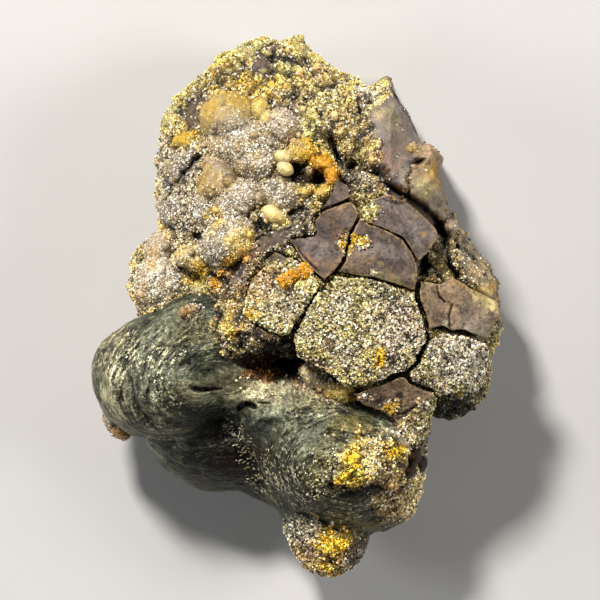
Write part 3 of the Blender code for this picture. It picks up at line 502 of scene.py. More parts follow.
def lobe(points, centre, half, turn):
    """Distance from an ellipsoid's skin: |p/h| (|p/h| - 1) / |p/h^2|."""
    local = turned(points - centre, -turn)
    near = np.linalg.norm(local / half, axis=1)
    steep = np.linalg.norm(local / np.square(half), axis=1)
    return near * (near - 1) / np.maximum(steep, 1e-9)


def smooth_union(a, b, blend):
    """The lesser of a and b, less a parabola of the blend's height where they are alike."""
    share = np.clip(0.5 + 0.5 * (b - a) / blend, 0, 1)
    return b * (1 - share) + a * share - blend * share * (1 - share)


def mass(points, lobes, blend):
    """Smooth union of all lobes."""
    found = [lobe(points, *shape) for shape in lobes.values()]
    return functools.reduce(lambda a, b: smooth_union(a, b, blend), found)


def spire(points):
    """A lobe cut by planes: the greatest of its distance and each plane's."""
    found = lobe(points, *SPIRE)
    for way, out in SPIRE_FACES.values():
        way = np.array(way) / np.linalg.norm(way)
        found = np.maximum(found, (points - SPIRE[0]) @ way - out)
    return found


def hollowed(points, whole, hollows):
    """The greater of the shape's distance and each hollow's distance below zero, smoothed."""
    for shape in hollows.values():
        whole = -smooth_union(-whole, lobe(points, *shape), SEAM_BLEND)
    return whole


def nodule_field(points):
    """Distance from the nodule's skin, below zero inside: its lobes, less its hollows."""
    return hollowed(points, mass(points, NODULE, NODULE_BLEND), NODULE_HOLLOWS)


def crust_field(points):
    """Distance from the crust's skin, below zero inside: its lobes and the spire, less their hollows."""
    whole = smooth_union(mass(points, CRUST, CRUST_BLEND), spire(points), SEAM_BLEND)
    return hollowed(points, whole, CRUST_HOLLOWS)


def rock_field(points):
    """Distance from the skin of nodule and crust together."""
    return smooth_union(nodule_field(points), crust_field(points), SEAM_BLEND)


# Large numbers without a common measure, so that a sine of them is like chance from one corner to the next.
KNOB_WAVES = np.array([[12.99, 39.35, 73.16], [78.23, 11.14, 52.24], [37.72, 83.16, 9.15]])
KNOB_SWING = 4375.85
CLOUD_WAVES = np.array([12.9898, 78.233, 37.719])
CLOUD_SWING = 43758.5453
SEED_STEP = 17.17


def knobbly(points, apart):
    """Round knobs, one in each cell of a loose grid: 1 less the squared distance to the nearest, or 0."""
    cell = np.floor(points / apart)
    nearest = np.full(len(points), 9.0)
    for step in np.ndindex(3, 3, 3):
        corner = cell + step - 1
        middle = corner + np.modf(np.sin(corner @ KNOB_WAVES) * KNOB_SWING)[0] ** 2
        nearest = np.minimum(nearest, np.linalg.norm(points / apart - middle, axis=1))
    return np.clip(1 - np.square(nearest), 0, 1)


def clouds(points, apart, octaves=1, seed=0):
    """Smooth noise from -1 to 1: the fractions of a large sine at a grid's corners, blended along S-curves,
    each octave half as wide and half as strong."""
    total, weight = 0.0, 0.0
    for octave in range(octaves):
        spread = points / apart * 2**octave
        cell = np.floor(spread)
        part = spread - cell
        part = part * part * (3 - 2 * part)
        value = 0.0
        for step in np.ndindex(2, 2, 2):
            share = np.prod(np.where(step, part, 1 - part), axis=1)
            wave = (cell + step) @ CLOUD_WAVES + (seed + octave) * SEED_STEP
            value = value + share * np.modf(np.abs(np.sin(wave)) * CLOUD_SWING)[0]
        total = total + (2 * value - 1) * 0.5**octave
        weight += 0.5**octave
    return total / weight


def rolling(points, layers, height=0.0):
    """A height with clouds over it, each times its own height."""
    return sum((high * clouds(points, *noise) for high, *noise in layers), height)


def step_up(low, high, value):
    """0 below low, 1 above high, and an S-curve between them."""
    share = np.clip((value - low) / (high - low), 0, 1)
    return share * share * (3 - 2 * share)


def push_out(ways, heart, field, start):
    """The points where straight lines out of the heart leave the skin of a distance field."""
    out = np.full(len(ways), float(start))
    for _ in range(OUT_STEPS):
        out -= OUT_STRIDE * field(heart + ways * out[:, None])
    return heart + ways * out[:, None]


def rock_top(spots):
    """How high the rock lies over each (x, y): a line from above, down to the skin of its distance field."""
    up = np.full(len(spots), float(DOWN_FROM))
    for _ in range(DOWN_STEPS):
        up = np.maximum(up - DOWN_STRIDE * rock_field(np.column_stack([spots, up])), 0)
    return up


def dome(spots):
    """The paraboloid that the plates lie on."""
    return DOME_TOP[2] - np.sum(np.square(spots - DOME_TOP[:2]) / DOME_FALL, axis=1)


def beside(spots, path):
    """How far each (x, y) is from a line with corners."""
    nearest = np.full(len(spots), 1e9)
    for a, b in zip(np.array(path[:-1]), np.array(path[1:])):
        along = b - a
        share = np.clip((spots - a) @ along / (along @ along), 0, 1)
        nearest = np.minimum(nearest, np.linalg.norm(spots - a - share[:, None] * along, axis=1))
    return nearest


def bell(away, wide):
    """A bell curve: e to the power of minus the square of away / wide."""
    return np.exp(-np.square(away / wide))


def cracked(points, paths, wide):
    """The sum of bell curves across lines with corners."""
    return sum(bell(beside(points[:, :2], path), wide) for path in paths)


def depth_inside(points, corners):
    """Distance from a polygon's sides, seen from above, and above zero inside it."""
    x, y = points[:, 0], points[:, 1]
    closed = np.array([*corners, corners[0]])
    crossings = np.zeros(len(points), int)
    for a, b in zip(closed[:-1], closed[1:]):
        meets = a[0] + (y - a[1]) * (b[0] - a[0]) / (b[1] - a[1] if b[1] != a[1] else 1e-9)
        crossings += ((a[1] > y) != (b[1] > y)) & (x < meets)
    nearest = beside(points[:, :2], closed)
    return np.where(crossings % 2, nearest, -nearest)


def ragged(points):
    """How far a painted edge wanders, in shares of its patch's size."""
    return 0.8 * clouds(points, 1.1, 3, 5)


def patch(points, place, soft=0.3, wander=None):
    """1 inside an ellipse seen from above, falling to 0 over a soft, ragged edge."""
    x, y, wide, high, turn = place
    away = np.linalg.norm(turned(points[:, :2] - (x, y), -turn) / (wide, high), axis=1)
    return 1 - step_up(1 - soft, 1 + soft, away + (ragged(points) if wander is None else wander))


def most(points, places, soft=0.3):
    """The greatest of several patches, each times its strength."""
    wander = ragged(points)
    return np.maximum.reduce([strength * patch(points, place, soft, wander) for *place, strength in places])


def greyness(colours):
    """From 0 on pure colours to 1 on greys: the least channel over the greatest, with a gain."""
    return np.clip(2.4 * colours.min(axis=1) / np.maximum(colours.max(axis=1), 1e-6), 0, 1)


def blended(colours, name, share):
    """The colours mixed with a named one by a share at each point."""
    share = np.clip(share, 0, 1)[:, None]
    return colours * (1 - share) + linear(name) * share


def painted(points, colours, spots, soft=0.3):
    """The colours with the painted places over them."""
    wander = ragged(points)
    for *place, name, strength in spots:
        colours = blended(colours, name, patch(points, place, soft, wander) * strength)
    return colours


def clouded(points, colours, layers, share=1):
    """The colours with clouds of other colours over them."""
    for name, low, high, *noise, strength in layers:
        colours = blended(colours, name, step_up(low, high, clouds(points, *noise)) * strength * share)
    return colours


def plain(points, name):
    """One named colour at every point."""
    return np.repeat(linear(name)[None], len(points), axis=0)


# A dark crystal's and a bright one's gain, and the brightest that it may get.
DARK_GAIN, BRIGHT_GAIN, BRIGHTEST = 0.14, 1.7, 0.8


def speckled(colours, dark, light, white):
    """Each crystal's own tone, by chance: some nearly black, some with painted glints, brighter and whiter on
    greyer ground.
    """
    count = len(colours)
    frost = (0.6 + 0.4 * greyness(colours)) * step_up(0.02, 0.25, colours.sum(axis=1))
    draw = DICE.random(count)
    colours = colours * DICE.uniform(0.45, 1.4, (count, 1))
    colours = np.where((draw < dark)[:, None], colours * DARK_GAIN, colours)
    painted_glint = draw > 1 - light
    colours = np.where(painted_glint[:, None], np.minimum(colours * BRIGHT_GAIN, BRIGHTEST), colours)
    return blended(colours, "white", painted_glint * DICE.uniform(0, 2 * white, count) * frost)


def near_lumps(points):
    """Distance from the nearest lump, and the colour and sparkle there, blended between near lumps."""
    nearest, total = np.full(len(points), 9.0), 1e-9
    colours, sparkles = 0.0, 0.0
    for *shape, colour, sparkle, _ in LUMPS:
        away = lobe(points, *shape)
        nearest = np.minimum(nearest, away)
        share = np.exp(-np.clip(away, -1.2, 9) / LUMP_MINGLE)
        total = total + share
        colours = colours + share[:, None] * linear(colour)
        sparkles = sparkles + share * sparkle
    return nearest, colours / total[:, None], sparkles / total


# ---------------------------------------------------------------- meshes

def grid_numbers(n):
    """The two numbers of each point in an n by n grid, in order."""
    return (g.ravel() for g in np.meshgrid(n, n, indexing="ij"))


def ball(n, lift=0.0):
    """Ways out of a heart: a cube's six n by n grids blown up to a sphere, closer towards +Z by lift."""
    u, v = grid_numbers(np.tan(np.linspace(-1, 1, n + 1) * math.pi / 4))
    one = np.ones_like(u)
    sides = ((one, u, v), (-one, v, u), (v, one, u), (u, -one, v), (u, v, one), (v, u, -one))
    ways = np.vstack([np.column_stack(side) for side in sides])
    ways /= np.linalg.norm(ways, axis=1)[:, None]
    i, j = grid_numbers(np.arange(n))
    first = i * (n + 1) + j
    quads = np.column_stack([first, first + n + 1, first + n + 2, first + 1])
    faces = np.vstack([quads + side * (n + 1) ** 2 for side in range(6)])
    rounded = np.round(ways * 1e5).astype(int)
    _, kept, where = np.unique(rounded, axis=0, return_index=True, return_inverse=True)
    ways = ways[kept] + (0, 0, lift)
    return ways / np.linalg.norm(ways, axis=1)[:, None], where.ravel()[faces]


def crossed(verts, faces):
    """The cross product of each face's diagonals: its normal, as long as twice its area."""
    a, b, c, d = (verts[faces[:, k]] for k in range(4))
    return np.cross(c - a, d - b)


def facings(verts, faces):
    """Normals at the points: the sum of those of the faces round each."""
    across, total = crossed(verts, faces), np.zeros_like(verts)
    for k in range(4):
        for axis in range(3):
            total[:, axis] += np.bincount(faces[:, k], across[:, axis], len(verts))
    return total / np.maximum(np.linalg.norm(total, axis=1), 1e-12)[:, None]


def placed(name, data):
    """An object in the scene for a mesh, a light or a camera."""
    made = bpy.data.objects.new(name, data)
    bpy.context.scene.collection.objects.link(made)
    return made


def piece(name, verts, faces, material, smooth, paint, numbers=None):
    """A mesh from arrays, with its paint and its other numbers stored on the points. A face whose last two
    corners are one point is a triangle."""
    kept = np.ones(faces.shape, bool)
    kept[:, -1] = faces[:, -1] != faces[:, -2]
    ends = np.cumsum(kept.sum(axis=1))
    mesh = bpy.data.meshes.new(name)
    mesh.vertices.add(len(verts))
    mesh.vertices.foreach_set("co", (verts * MM).astype(np.float32).ravel())
    mesh.loops.add(int(ends[-1]))
    mesh.loops.foreach_set("vertex_index", faces[kept].astype(np.int32))
    mesh.polygons.add(len(faces))
    mesh.polygons.foreach_set("loop_start", np.append(0, ends[:-1]).astype(np.int32))
    mesh.polygons.foreach_set("use_smooth", np.full(len(faces), smooth))
    mesh.update(calc_edges=True)
    store = mesh.attributes.new("paint", "FLOAT_COLOR", "POINT")
    store.data.foreach_set("color", np.column_stack([paint, np.ones(len(verts))]).astype(np.float32).ravel())
    for key, values in (numbers or {}).items():
        store = mesh.attributes.new(key, "FLOAT", "POINT")
        store.data.foreach_set("value", values.astype(np.float32))
    mesh.materials.append(material)
    made = placed(name, mesh)
    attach(made, "root")
    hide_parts("pyrite_specimen")


LOWEST_GRAIN = 1
BEAD_GRID = 3
GRAIN_LIFT = 0.04


def sown(verts, faces, weight, count, *values):
    """Random places on a mesh, drawn in step with face area and weight, and the mesh's other values there."""
    area = np.linalg.norm(crossed(verts, faces), axis=1) * weight[faces].mean(axis=1)
    area = area * (verts[faces, 2].min(axis=1) > LOWEST_GRAIN)
    chosen = DICE.choice(len(faces), count, p=area / area.sum())
    s, t = DICE.random((2, count, 1))
    shares = (1 - s) * (1 - t), s * (1 - t), s * t, (1 - s) * t
    mixing = list(zip(shares, faces[chosen].T))
    return [sum(share * value[corner] for share, corner in mixing) for value in (verts, *values)]


# The small solids that are repeated: their corners and their sides.
CUBE = (
    np.array([(x, y, z) for x in (-1, 1) for y in (-1, 1) for z in (-1, 1)]) * 0.5,
    np.array([(0, 1, 3, 2), (4, 6, 7, 5), (0, 4, 5, 1), (2, 3, 7, 6), (0, 2, 6, 4), (1, 5, 7, 3)]),
)
SPEAR = (
    np.array([(1, 0, 0), (0, 1, 0), (-1, 0, 0), (0, -1, 0), (0, 0, 1), (0, 0, -1)]) * 0.62,
    np.array([(0, 1, 4), (1, 2, 4), (2, 3, 4), (3, 0, 4), (1, 0, 5), (2, 1, 5), (3, 2, 5), (0, 3, 5)]),
)


def repeated(sides, corners, count):
    """The sides of one small solid, for each of many."""
    return (sides[None] + corners * np.arange(count)[:, None, None]).reshape(-1, sides.shape[1])


def many(name, places, turns, stretches, colours, solid):
    """One small solid at each place: its corners times its stretch, times its own turning matrix."""
    shape, sides = solid
    verts = places[:, None] + np.einsum("nij,nkj->nki", turns, shape[None] * stretches[:, None])
    faces = repeated(sides, len(shape), len(places))
    piece(name, verts.reshape(-1, 3), faces, CRYSTAL_FACES, False, np.repeat(colours, len(shape), axis=0))


def grow(name, verts, faces, weight, paint, count, small, large, gain, tones, solid=CUBE):
    """Crystals sown on a mesh that take its paint: many small and few large, by a random number's square,
    and turned by random unit quaternions (w, u): 1 + 2w[u] + 2[u][u]."""
    places, facing, paint = sown(verts, faces, weight, count, facings(verts, faces), paint)
    paint = speckled(paint * gain, *tones)
    spans = small + (large - small) * DICE.random(count) ** 2
    q = DICE.normal(size=(count, 4))
    q /= np.linalg.norm(q, axis=1)[:, None]
    spin = np.cross(q[:, None, 1:], np.eye(3))
    turns = np.eye(3) - 2 * q[:, :1, None] * spin + 2 * spin @ spin
    stretches = spans[:, None] * DICE.uniform(0.7, 1.3, (count, 3))
    many(name, places + facing * GRAIN_LIFT, turns, stretches, paint, solid)


# ---------------------------------------------------------------- shader maths

class Link:
    """One output of a node. Sums, differences and products of it add Math nodes."""

    def __init__(self, shade, socket):
        self.shade, self.socket = shade, socket

    def maths(self, operation, a, b):
        """A Math node's output."""
        return self.shade.add("ShaderNodeMath", {"operation": operation}, {0: a, 1: b})

    def __add__(self, other):
        return self.maths("ADD", self, other)

    def __sub__(self, other):
        return self.maths("SUBTRACT", self, other)

    def __rsub__(self, other):
        return self.maths("SUBTRACT", other, self)

    def __mul__(self, other):
        return self.maths("MULTIPLY", self, other)

    __radd__, __rmul__ = __add__, __mul__


class Shade:
    """A material being made."""

    def __init__(self, name, **fixed):
        self.material = bpy.data.materials.new(name)
        self.material.use_nodes = True
        self.tree = self.material.node_tree
        self.skin = self.tree.nodes["Principled BSDF"]
        for key, value in fixed.items():
            self.skin.inputs[key.replace("_", " ").title()].default_value = value
        self.where = self.add("ShaderNodeTexCoord", out="Object")

    def add(self, kind, settings=None, inputs=None, out=0):
        """Any node: its settings first, then the values or links of its sockets."""
        node = self.tree.nodes.new(kind)
        for key, value in (settings or {}).items():
            setattr(node, key, value)
        for key, value in (inputs or {}).items():
            if isinstance(value, Link):
                self.tree.links.new(value.socket, node.inputs[key])
            else:
                node.inputs[key].default_value = value
        return Link(self, node.outputs[out])

    def noise(self, apart, detail=3.0, rough=0.55, flow=None):
        """Noise with features that many millimetres apart; a flow cuts it into streaks that lie along it."""
        inputs = {"Vector": self.where, "Scale": 1 / (apart * MM), "Detail": detail, "Roughness": rough}
        if flow:
            inputs["W"] = flow
        return self.add("ShaderNodeTexNoise", {"noise_dimensions": "4D" if flow else "3D"}, inputs, "Fac")

    def cells(self, apart, out="Distance"):
        """Worley cells about that many millimetres apart."""
        return self.add("ShaderNodeTexVoronoi", None, {"Vector": self.where, "Scale": 1 / (apart * MM)}, out)

    def chance(self, apart):
        """A number from 0 to 1 that is the same all over each Worley cell."""
        return self.add("ShaderNodeSeparateColor", None, {"Color": self.cells(apart, "Color")}, "Red")

    def number(self, name, out="Fac"):
        """One of the numbers stored on the mesh's points."""
        return self.add("ShaderNodeAttribute", {"attribute_name": name}, out=out)

    def paint(self, factor=1.0):
        """The mesh's paint, made brighter or darker by a factor."""
        return self.scaled(self.number("paint", "Color"), factor)

    def between(self, value, low, high):
        """0 below low, 1 above high."""
        inputs = {"Value": value, "From Min": low, "From Max": high}
        return self.add("ShaderNodeMapRange", {"interpolation_type": "SMOOTHSTEP"}, inputs)

    def below(self, value, low, high):
        """1 below low, 0 above high."""
        return self.between(0 - value, -high, -low)

    def mix(self, share, a, b):
        """A colour between two, each a link or a colour's name."""
        tones = [tone if isinstance(tone, Link) else (*linear(tone), 1.0) for tone in (a, b)]
        return self.add("ShaderNodeMix", {"data_type": "RGBA"}, {0: share, 6: tones[0], 7: tones[1]}, 2)

    def scaled(self, colour, factor):
        """A colour times a number."""
        return self.add("ShaderNodeVectorMath", {"operation": "SCALE"}, {0: colour, "Scale": factor})

    def wire(self, **sockets):
        """Links go into the skin's sockets, which are named in lower case."""
        for key, link in sockets.items():
            self.tree.links.new(link.socket, self.skin.inputs[key.replace("_", " ").title()])

    def bump(self, value, depth, strength=1.0, under=None):
        """A Bump node: depth in millimetres for a value from 0 to 1."""
        inputs = {"Height": value, "Distance": depth * MM, "Strength": strength}
        if under:
            inputs["Normal"] = under
        return self.add("ShaderNodeBump", None, inputs)


def nodule_skin():
    """Dark, greenish metal with worm-like flecks along its flow, that shine where it glitters."""
    s = Shade("nodule_metal", metallic=0.55)
    flow = s.number("flow") * MM
    calm, glint = s.number("calm"), s.number("glint")
    streaks, cloud = s.noise(6.0, 3.0, 0.65, flow * 8.0), s.noise(3.0, 5.0, 0.7)
    flecks, grit = s.noise(1.9, 2.0, 0.65, flow * 3.2), s.noise(0.62, 2.0, 0.75)
    lively = 1 - calm * 0.75
    worms = ((flecks - 0.5) * lively + (grit - 0.5) * 0.8) * (0.7 + glint * 0.3)
    tone = 0.5 + (streaks - 0.5) * lively * 1.6 + (cloud - 0.5) * 1.6 + worms * 2.2
    skin = s.paint(s.between(tone, -0.10, 1.20) * 2.0 + 0.05)
    skin = s.mix(s.below(worms, -0.12, -0.05) * (0.30 * lively + glint * 0.65) * 0.85, skin, "dark")
    # Painted glints: pale flecks in the base colour, most where the metal glitters.
    sparks = s.between(worms, 0.08, 0.12) * (0.16 * lively + glint * 0.8)
    skin = s.mix(sparks * 0.85, skin, "glitter")
    s.wire(base_color=skin, roughness=0.44 - sparks * 0.2 + (grit - 0.5) * 0.3)
    s.wire(normal=s.bump(worms + 0.5, 0.50, 1.0, s.bump(streaks, 0.7, 0.7)))
    return s.material


def grained(s, apart):
    """Small grains: each its own brightness, with painted shade round its edges, a few nearly white as
    painted glints, a few golden.
    """
    draw, edge, grit = s.chance(apart), s.cells(apart), s.noise(apart * 0.7, 2.0, 0.7)
    tone = s.paint(0.25 + draw * 1.2 + (grit - 0.5) * 1.5)
    tone = s.mix(s.between(edge, 0.40, 0.70) * 0.75, tone, "dark")
    tone = s.mix(s.between(draw, 0.91, 0.94) * 0.45, tone, "white")
    return s.mix(s.below(draw, 0.11, 0.14) * 0.3, tone, "gold"), edge, grit


def crust_skin():
    """Granular stone under its paint, calm on the smooth faces."""
    s = Shade("crust_stone", metallic=0.1)
    smooth = s.number("smooth")
    tone, edge, grit = grained(s, 0.34)
    cloud = s.noise(1.6, 4.0, 0.6)
    satin = s.paint(0.1 + cloud * 1.8 + (grit - 0.5) * 1.3)
    satin = s.mix(s.below(grit + (cloud - 0.5) * 0.5, 0.32, 0.40) * 0.6, satin, "dark")
    s.wire(base_color=s.mix(smooth, tone, satin), roughness=0.5 + grit * 0.3 - smooth * 0.12)
    s.wire(normal=s.bump(edge * (1 - smooth), 0.30, 0.8, s.bump(grit, 0.14, 0.8, s.bump(cloud, 0.8, 0.6))))
    return s.material


def plate_skin():
    """Satin mauve skin, mottled, with dark pores and pale crumbs, a little paler along its broken rims."""
    s = Shade("plate_satin", metallic=0.15)
    cloud, fine, wide = s.noise(2.2, 5.0, 0.7), s.noise(0.60, 3.0, 0.8), s.noise(6.0, 3.0, 0.6)
    rim, wall, druse = s.number("rim"), s.number("wall"), s.number("druse")
    grains, edge, _ = grained(s, 0.30)
    tone = s.paint(s.between(cloud, 0.25, 0.75) * 0.7 + wide * 1.1 + (fine - 0.5) * 2.1)
    tone = s.mix(s.between(fine + (wide - 0.5) * 0.3, 0.62, 0.72) * 0.45, tone, "tan")
    tone = s.mix(s.below(fine + (cloud - 0.5) * 0.3, 0.35, 0.43) * 0.5, tone, "dark")
    tone = s.mix(druse, tone, grains)
    tone = s.mix(rim * s.between(fine, 0.38, 0.58) * 0.75, tone, "honey")
    # Painted shade on the walls: nearly black, mottled with brown.
    tone = s.mix(wall, tone, s.mix(s.between(fine, 0.45, 0.7) * 0.7, "pit shade", "brown"))
    s.wire(base_color=tone, roughness=0.42 + fine * 0.25 + wall * 0.25)
    low = s.bump(wide, 2.0, 0.5, s.bump(cloud, 1.1, 0.6, s.bump(fine, 0.12, 0.8)))
    s.wire(normal=s.bump(edge * druse, 0.25, 0.8, low))
    return s.material


def lump_skin():
    """Sugary skin: painted white glints over a warm ground on the frosted lumps, a waxy skin on the smooth
    ones.
    """
    s = Shade("lump_sugar", coat_roughness=0.25)
    sparkle, frost = s.number("sparkle"), s.number("frost")
    grit, cloud, draw = s.noise(0.34, 3.0, 0.8), s.noise(1.3, 4.0, 0.65), s.chance(0.30)
    wax = s.paint(0.35 + cloud * 1.2 + (grit - 0.5) * 1.2)
    tone = s.paint(0.1 + s.between(grit, 0.30, 0.64) * 0.9 + (cloud - 0.5) * 1.4 + draw * 0.35)
    painted_glint = s.between(draw + (grit - 0.5) * 0.8, 0.76, 0.88) * 0.85
    tone = s.mix(painted_glint, tone, s.mix(frost, s.paint(2.0), "white"))
    tone = s.mix(s.below(grit, 0.37, 0.45) * 0.8, tone, "brown")
    roughness = 0.44 - s.between(grit, 0.58, 0.68) * sparkle * 0.2
    s.wire(base_color=s.mix(sparkle, wax, tone), roughness=roughness, coat_weight=frost * 0.3)
    s.wire(metallic=s.number("dusk") * 0.8, normal=s.bump(grit, 0.16, 0.9, s.bump(cloud, 0.5, 0.6)))
    return s.material


def crystal_skin():
    """Bright crystal faces in each grain's own tone."""
    s = Shade("crystal_faces", metallic=0.2)
    s.skin.inputs["Specular IOR Level"].default_value = 0.35
    fine = s.noise(0.2, 2.0, 0.6)
    s.wire(base_color=s.paint(0.6 + fine * 0.8), roughness=0.26 + fine * 0.25)
    return s.material


NODULE_METAL, CRUST_STONE, PLATE_SATIN = nodule_skin(), crust_skin(), plate_skin()
LUMP_SUGAR, CRYSTAL_FACES = lump_skin(), crystal_skin()


# ---------------------------------------------------------------- the nodule

NODULE_GRID, NODULE_START = 127, 36
# Gentle relief: how high, how far apart, octaves and seed.
NODULE_ROLL = ((0.6, 8.0, 2, 6), (0.22, 2.4, 2, 26))


def flow_at(points):
    """Distance from the nearer swirl's centre, rounded off between them and a little wavy."""
    near = [np.linalg.norm(turned(points - centre, -turn) / half, axis=1) for centre, half, turn in SWIRLS]
    return smooth_union(*near, 5.0) + 0.8 * clouds(points, 7.0, 2, 3)


def slit_share(points, middle, long, wide, turn):
    """A bell curve across a wavy slit that narrows like a lens towards its ends."""
    along, across = turned(points[:, :2] - middle, -turn).T
    lens = np.sqrt(np.clip(1 - np.square(along / long), 0.01, 1))
    across = across + 0.25 * clouds(points, 1.3, 2, 61)
    return bell(across, wide * lens) * (np.abs(along) < long) * lens**0.5


def nodule():
    """The nodule's lobes, folds and slits, with ridges along the flow: noise squeezed across it, 1 - 2|n|."""
    ways, faces = ball(NODULE_GRID, 0.35)
    verts = push_out(ways, NODULE_HEART, nodule_field, NODULE_START)
    out, crease = np.zeros((2, len(verts)))
    for depth, wide, path in FOLDS.values():
        share = bell(beside(verts[:, :2], path), wide) * (verts[:, 2] > NODULE_HEART[2] - FOLD_REACH)
        out -= depth * share
        crease = np.maximum(crease, np.sign(depth) * share)
    verts = verts + ways * out[:, None]
    flow, calm = flow_at(verts), most(verts, CALM, 0.8)
    glint, grown = most(verts, GLINTS, 0.6), most(verts, GROWTHS, 0.55)
    lively = 1 - 0.8 * calm
    squeezed = np.column_stack([flow * 0.36, verts[:, 0] * 0.12, verts[:, 1] * 0.12 + verts[:, 2] * 0.08])
    ridges = 1 - 2 * np.abs(clouds(squeezed, 1.0, 2, 4))
    tight = clouds(squeezed * (2.6, 1.8, 1.8), 1.0, 2, 24)
    relief = (0.5 * (ridges - 0.5) + (0.10 + 0.16 * glint) * tight) * lively
    relief += rolling(verts, NODULE_ROLL)
    coarse, fine = knobbly(verts, 1.9), knobbly(verts, 1.0)
    relief += grown * (0.75 * (coarse - 0.45) + 0.4 * (fine - 0.5))
    verts = verts + facings(verts, faces) * relief[:, None]
    # Painted shade in the creases and between the grown knobs; lighter along the ridges and in calm places.
    painted_shade = (0.58 + 0.52 * ridges * lively + 0.32 * calm) * (1 - 0.6 * np.clip(crease, 0, 1))
    painted_shade = painted_shade * (1 - grown * (1 - step_up(0.25, 0.95, 0.7 * coarse + 0.5 * fine)))
    paint = clouded(verts, plain(verts, "steel"), METAL_CLOUDS)
    paint = painted(verts, paint, NODULE_SPOTS, 0.5) * painted_shade[:, None]
    # Each slit is cut in and painted nearly black, as shade inside it.
    for *slit, depth in SLITS:
        share = slit_share(verts, *slit)
        verts[:, 2] -= depth * share
        paint *= (1 - 0.98 * np.minimum(1.6 * share, 1))[:, None]
    verts[:, 2] = np.maximum(verts[:, 2], 0)
    glint = glint * (1 - grown)
    piece("nodule", verts, faces, NODULE_METAL, True, paint, {"flow": flow, "calm": calm, "glint": glint})
    return verts, faces, paint, glint, grown


# ---------------------------------------------------------------- the crust

CRUST_GRID, CRUST_START = 127, 42
CRUST_ROLL = ((1.1, 4.5, 2, 8), (0.35, 1.6, 2, 18))
# How far the crust sinks under plates, how deep its cracks and holes are, and how far its bulges stand out.
CRUST_SINK, CRACK_DEPTH, HOLE_DEPTH, BULGE = 1.6, 3.0, 1.5, 2.2


def smooth_parts(points):
    """How smooth the crust is at each point, and its colour where it is."""
    share, colours, wander = np.zeros(len(points)), plain(points, "slate"), 1.2 * ragged(points)
    for strength, name, corners in SMOOTH_FACES:
        inside = step_up(-0.3, 0.5, depth_inside(points, corners) + wander)
        share = np.maximum(share, strength * inside)
        colours = blended(colours, name, inside)
    return share, colours


def under_plates(points):
    """1 where a plate lies above, 0 elsewhere."""
    depths = [depth_inside(points, corners) for _, _, corners in PLATES.values()]
    return step_up(-0.3, 0.6, np.maximum.reduce(depths)) * step_up(16, 20, points[:, 2])


def crust():
    """The crust's body with its knobs, which fade on the smooth faces; it sinks under the plates."""
    ways, faces = ball(CRUST_GRID, 0.5)
    verts = push_out(ways, CRUST_HEART, crust_field, CRUST_START)
    (smooth, tint), under = smooth_parts(verts), under_plates(verts)
    knobs = [knobbly(verts, apart) for apart, _ in KNOBS]
    high = sum((knob - 0.5) * stand for knob, (_, stand) in zip(knobs, KNOBS))
    gentle = rolling(verts, CRUST_ROLL, 0.7)
    out = high * (1 - 0.92 * smooth) * (1 - 0.8 * under) - CRUST_SINK * under + gentle * smooth
    verts = verts + ways * (out + BULGE * most(verts, BULGES, 0.7))[:, None]
    lines = 0.4 * cracked(verts, HAIRLINES, 0.3) + cracked(verts, CRACKS, 0.6)
    lines, holes = np.minimum(lines * (verts[:, 2] > 10), 1), most(verts, HOLES, 0.5)
    verts[:, 2] = np.maximum(verts[:, 2] - CRACK_DEPTH * lines - HOLE_DEPTH * holes, 0)
    paint = clouded(verts, plain(verts, "khaki"), CRUST_CLOUDS)
    paint = painted(verts, paint, CRUST_SPOTS)
    near, lump_tint, _ = near_lumps(verts)
    for share, colours in ((0.75 * (1 - step_up(0.2, 1.8, near)), lump_tint), (smooth**0.5, tint)):
        paint = paint * (1 - share)[:, None] + colours * share[:, None]
    # Painted shade: darker in the crevices between the knobs, except on the smooth faces.
    crevice_shading = step_up(0.70, 1.16, 0.5 * knobs[1] + 0.75 * knobs[2] + 0.15 * knobs[3])
    paint = paint * ((0.03 + 1.35 * crevice_shading) ** (1 - smooth))[:, None]
    paint = painted(verts, paint, SMOOTH_SPOTS, 0.7)
    facing = facings(verts, faces)[:, 2]
    steep = smooth * (1 - step_up(0.15, 0.45, facing)) * (1 - step_up(18, 30, verts[:, 2]))
    paint = clouded(verts, blended(paint, "mauve", steep), STEEP_CLOUDS, steep)
    # Painted shade: nearly black under the plates, in the cracks and in the holes.
    paint = blended(paint, "pit shade", np.maximum.reduce([under, 1.3 * lines, holes]))
    piece("crust", verts, faces, CRUST_STONE, True, paint, {"smooth": smooth})
    weight = (1 - 0.98 * step_up(0.25, 0.7, smooth)) * (0.12 + step_up(-0.6, 0.3, facing))
    weight *= (1 - np.maximum.reduce([under, lines, holes])) * (0.25 + 0.75 * crevice_shading)
    return verts, faces, paint, weight, weight * (facing > 0.2)


# ---------------------------------------------------------------- plates

RIM_STEP = 0.22
TOP_RINGS, WALL_RINGS = 34, 14
# How far out and how far down the rings over a plate's rounded edge lie.
EDGE_SHARES = (0.97, 0.985, 0.995, 1.0)
EDGE_DROPS = (0.03, 0.08, 0.16, 0.32)
PLATE_ROLL = ((0.85, 4.6, 2, 10), (0.22, 1.5, 2, 11))
PLATE_CLOUDS = (("plum", -0.1, 0.5, 2.6, 3, 41, 0.55),)
PLATE_RIM_CLOUDS = (("tan", -0.1, 0.6, 1.5, 3, 42, 0.5),)


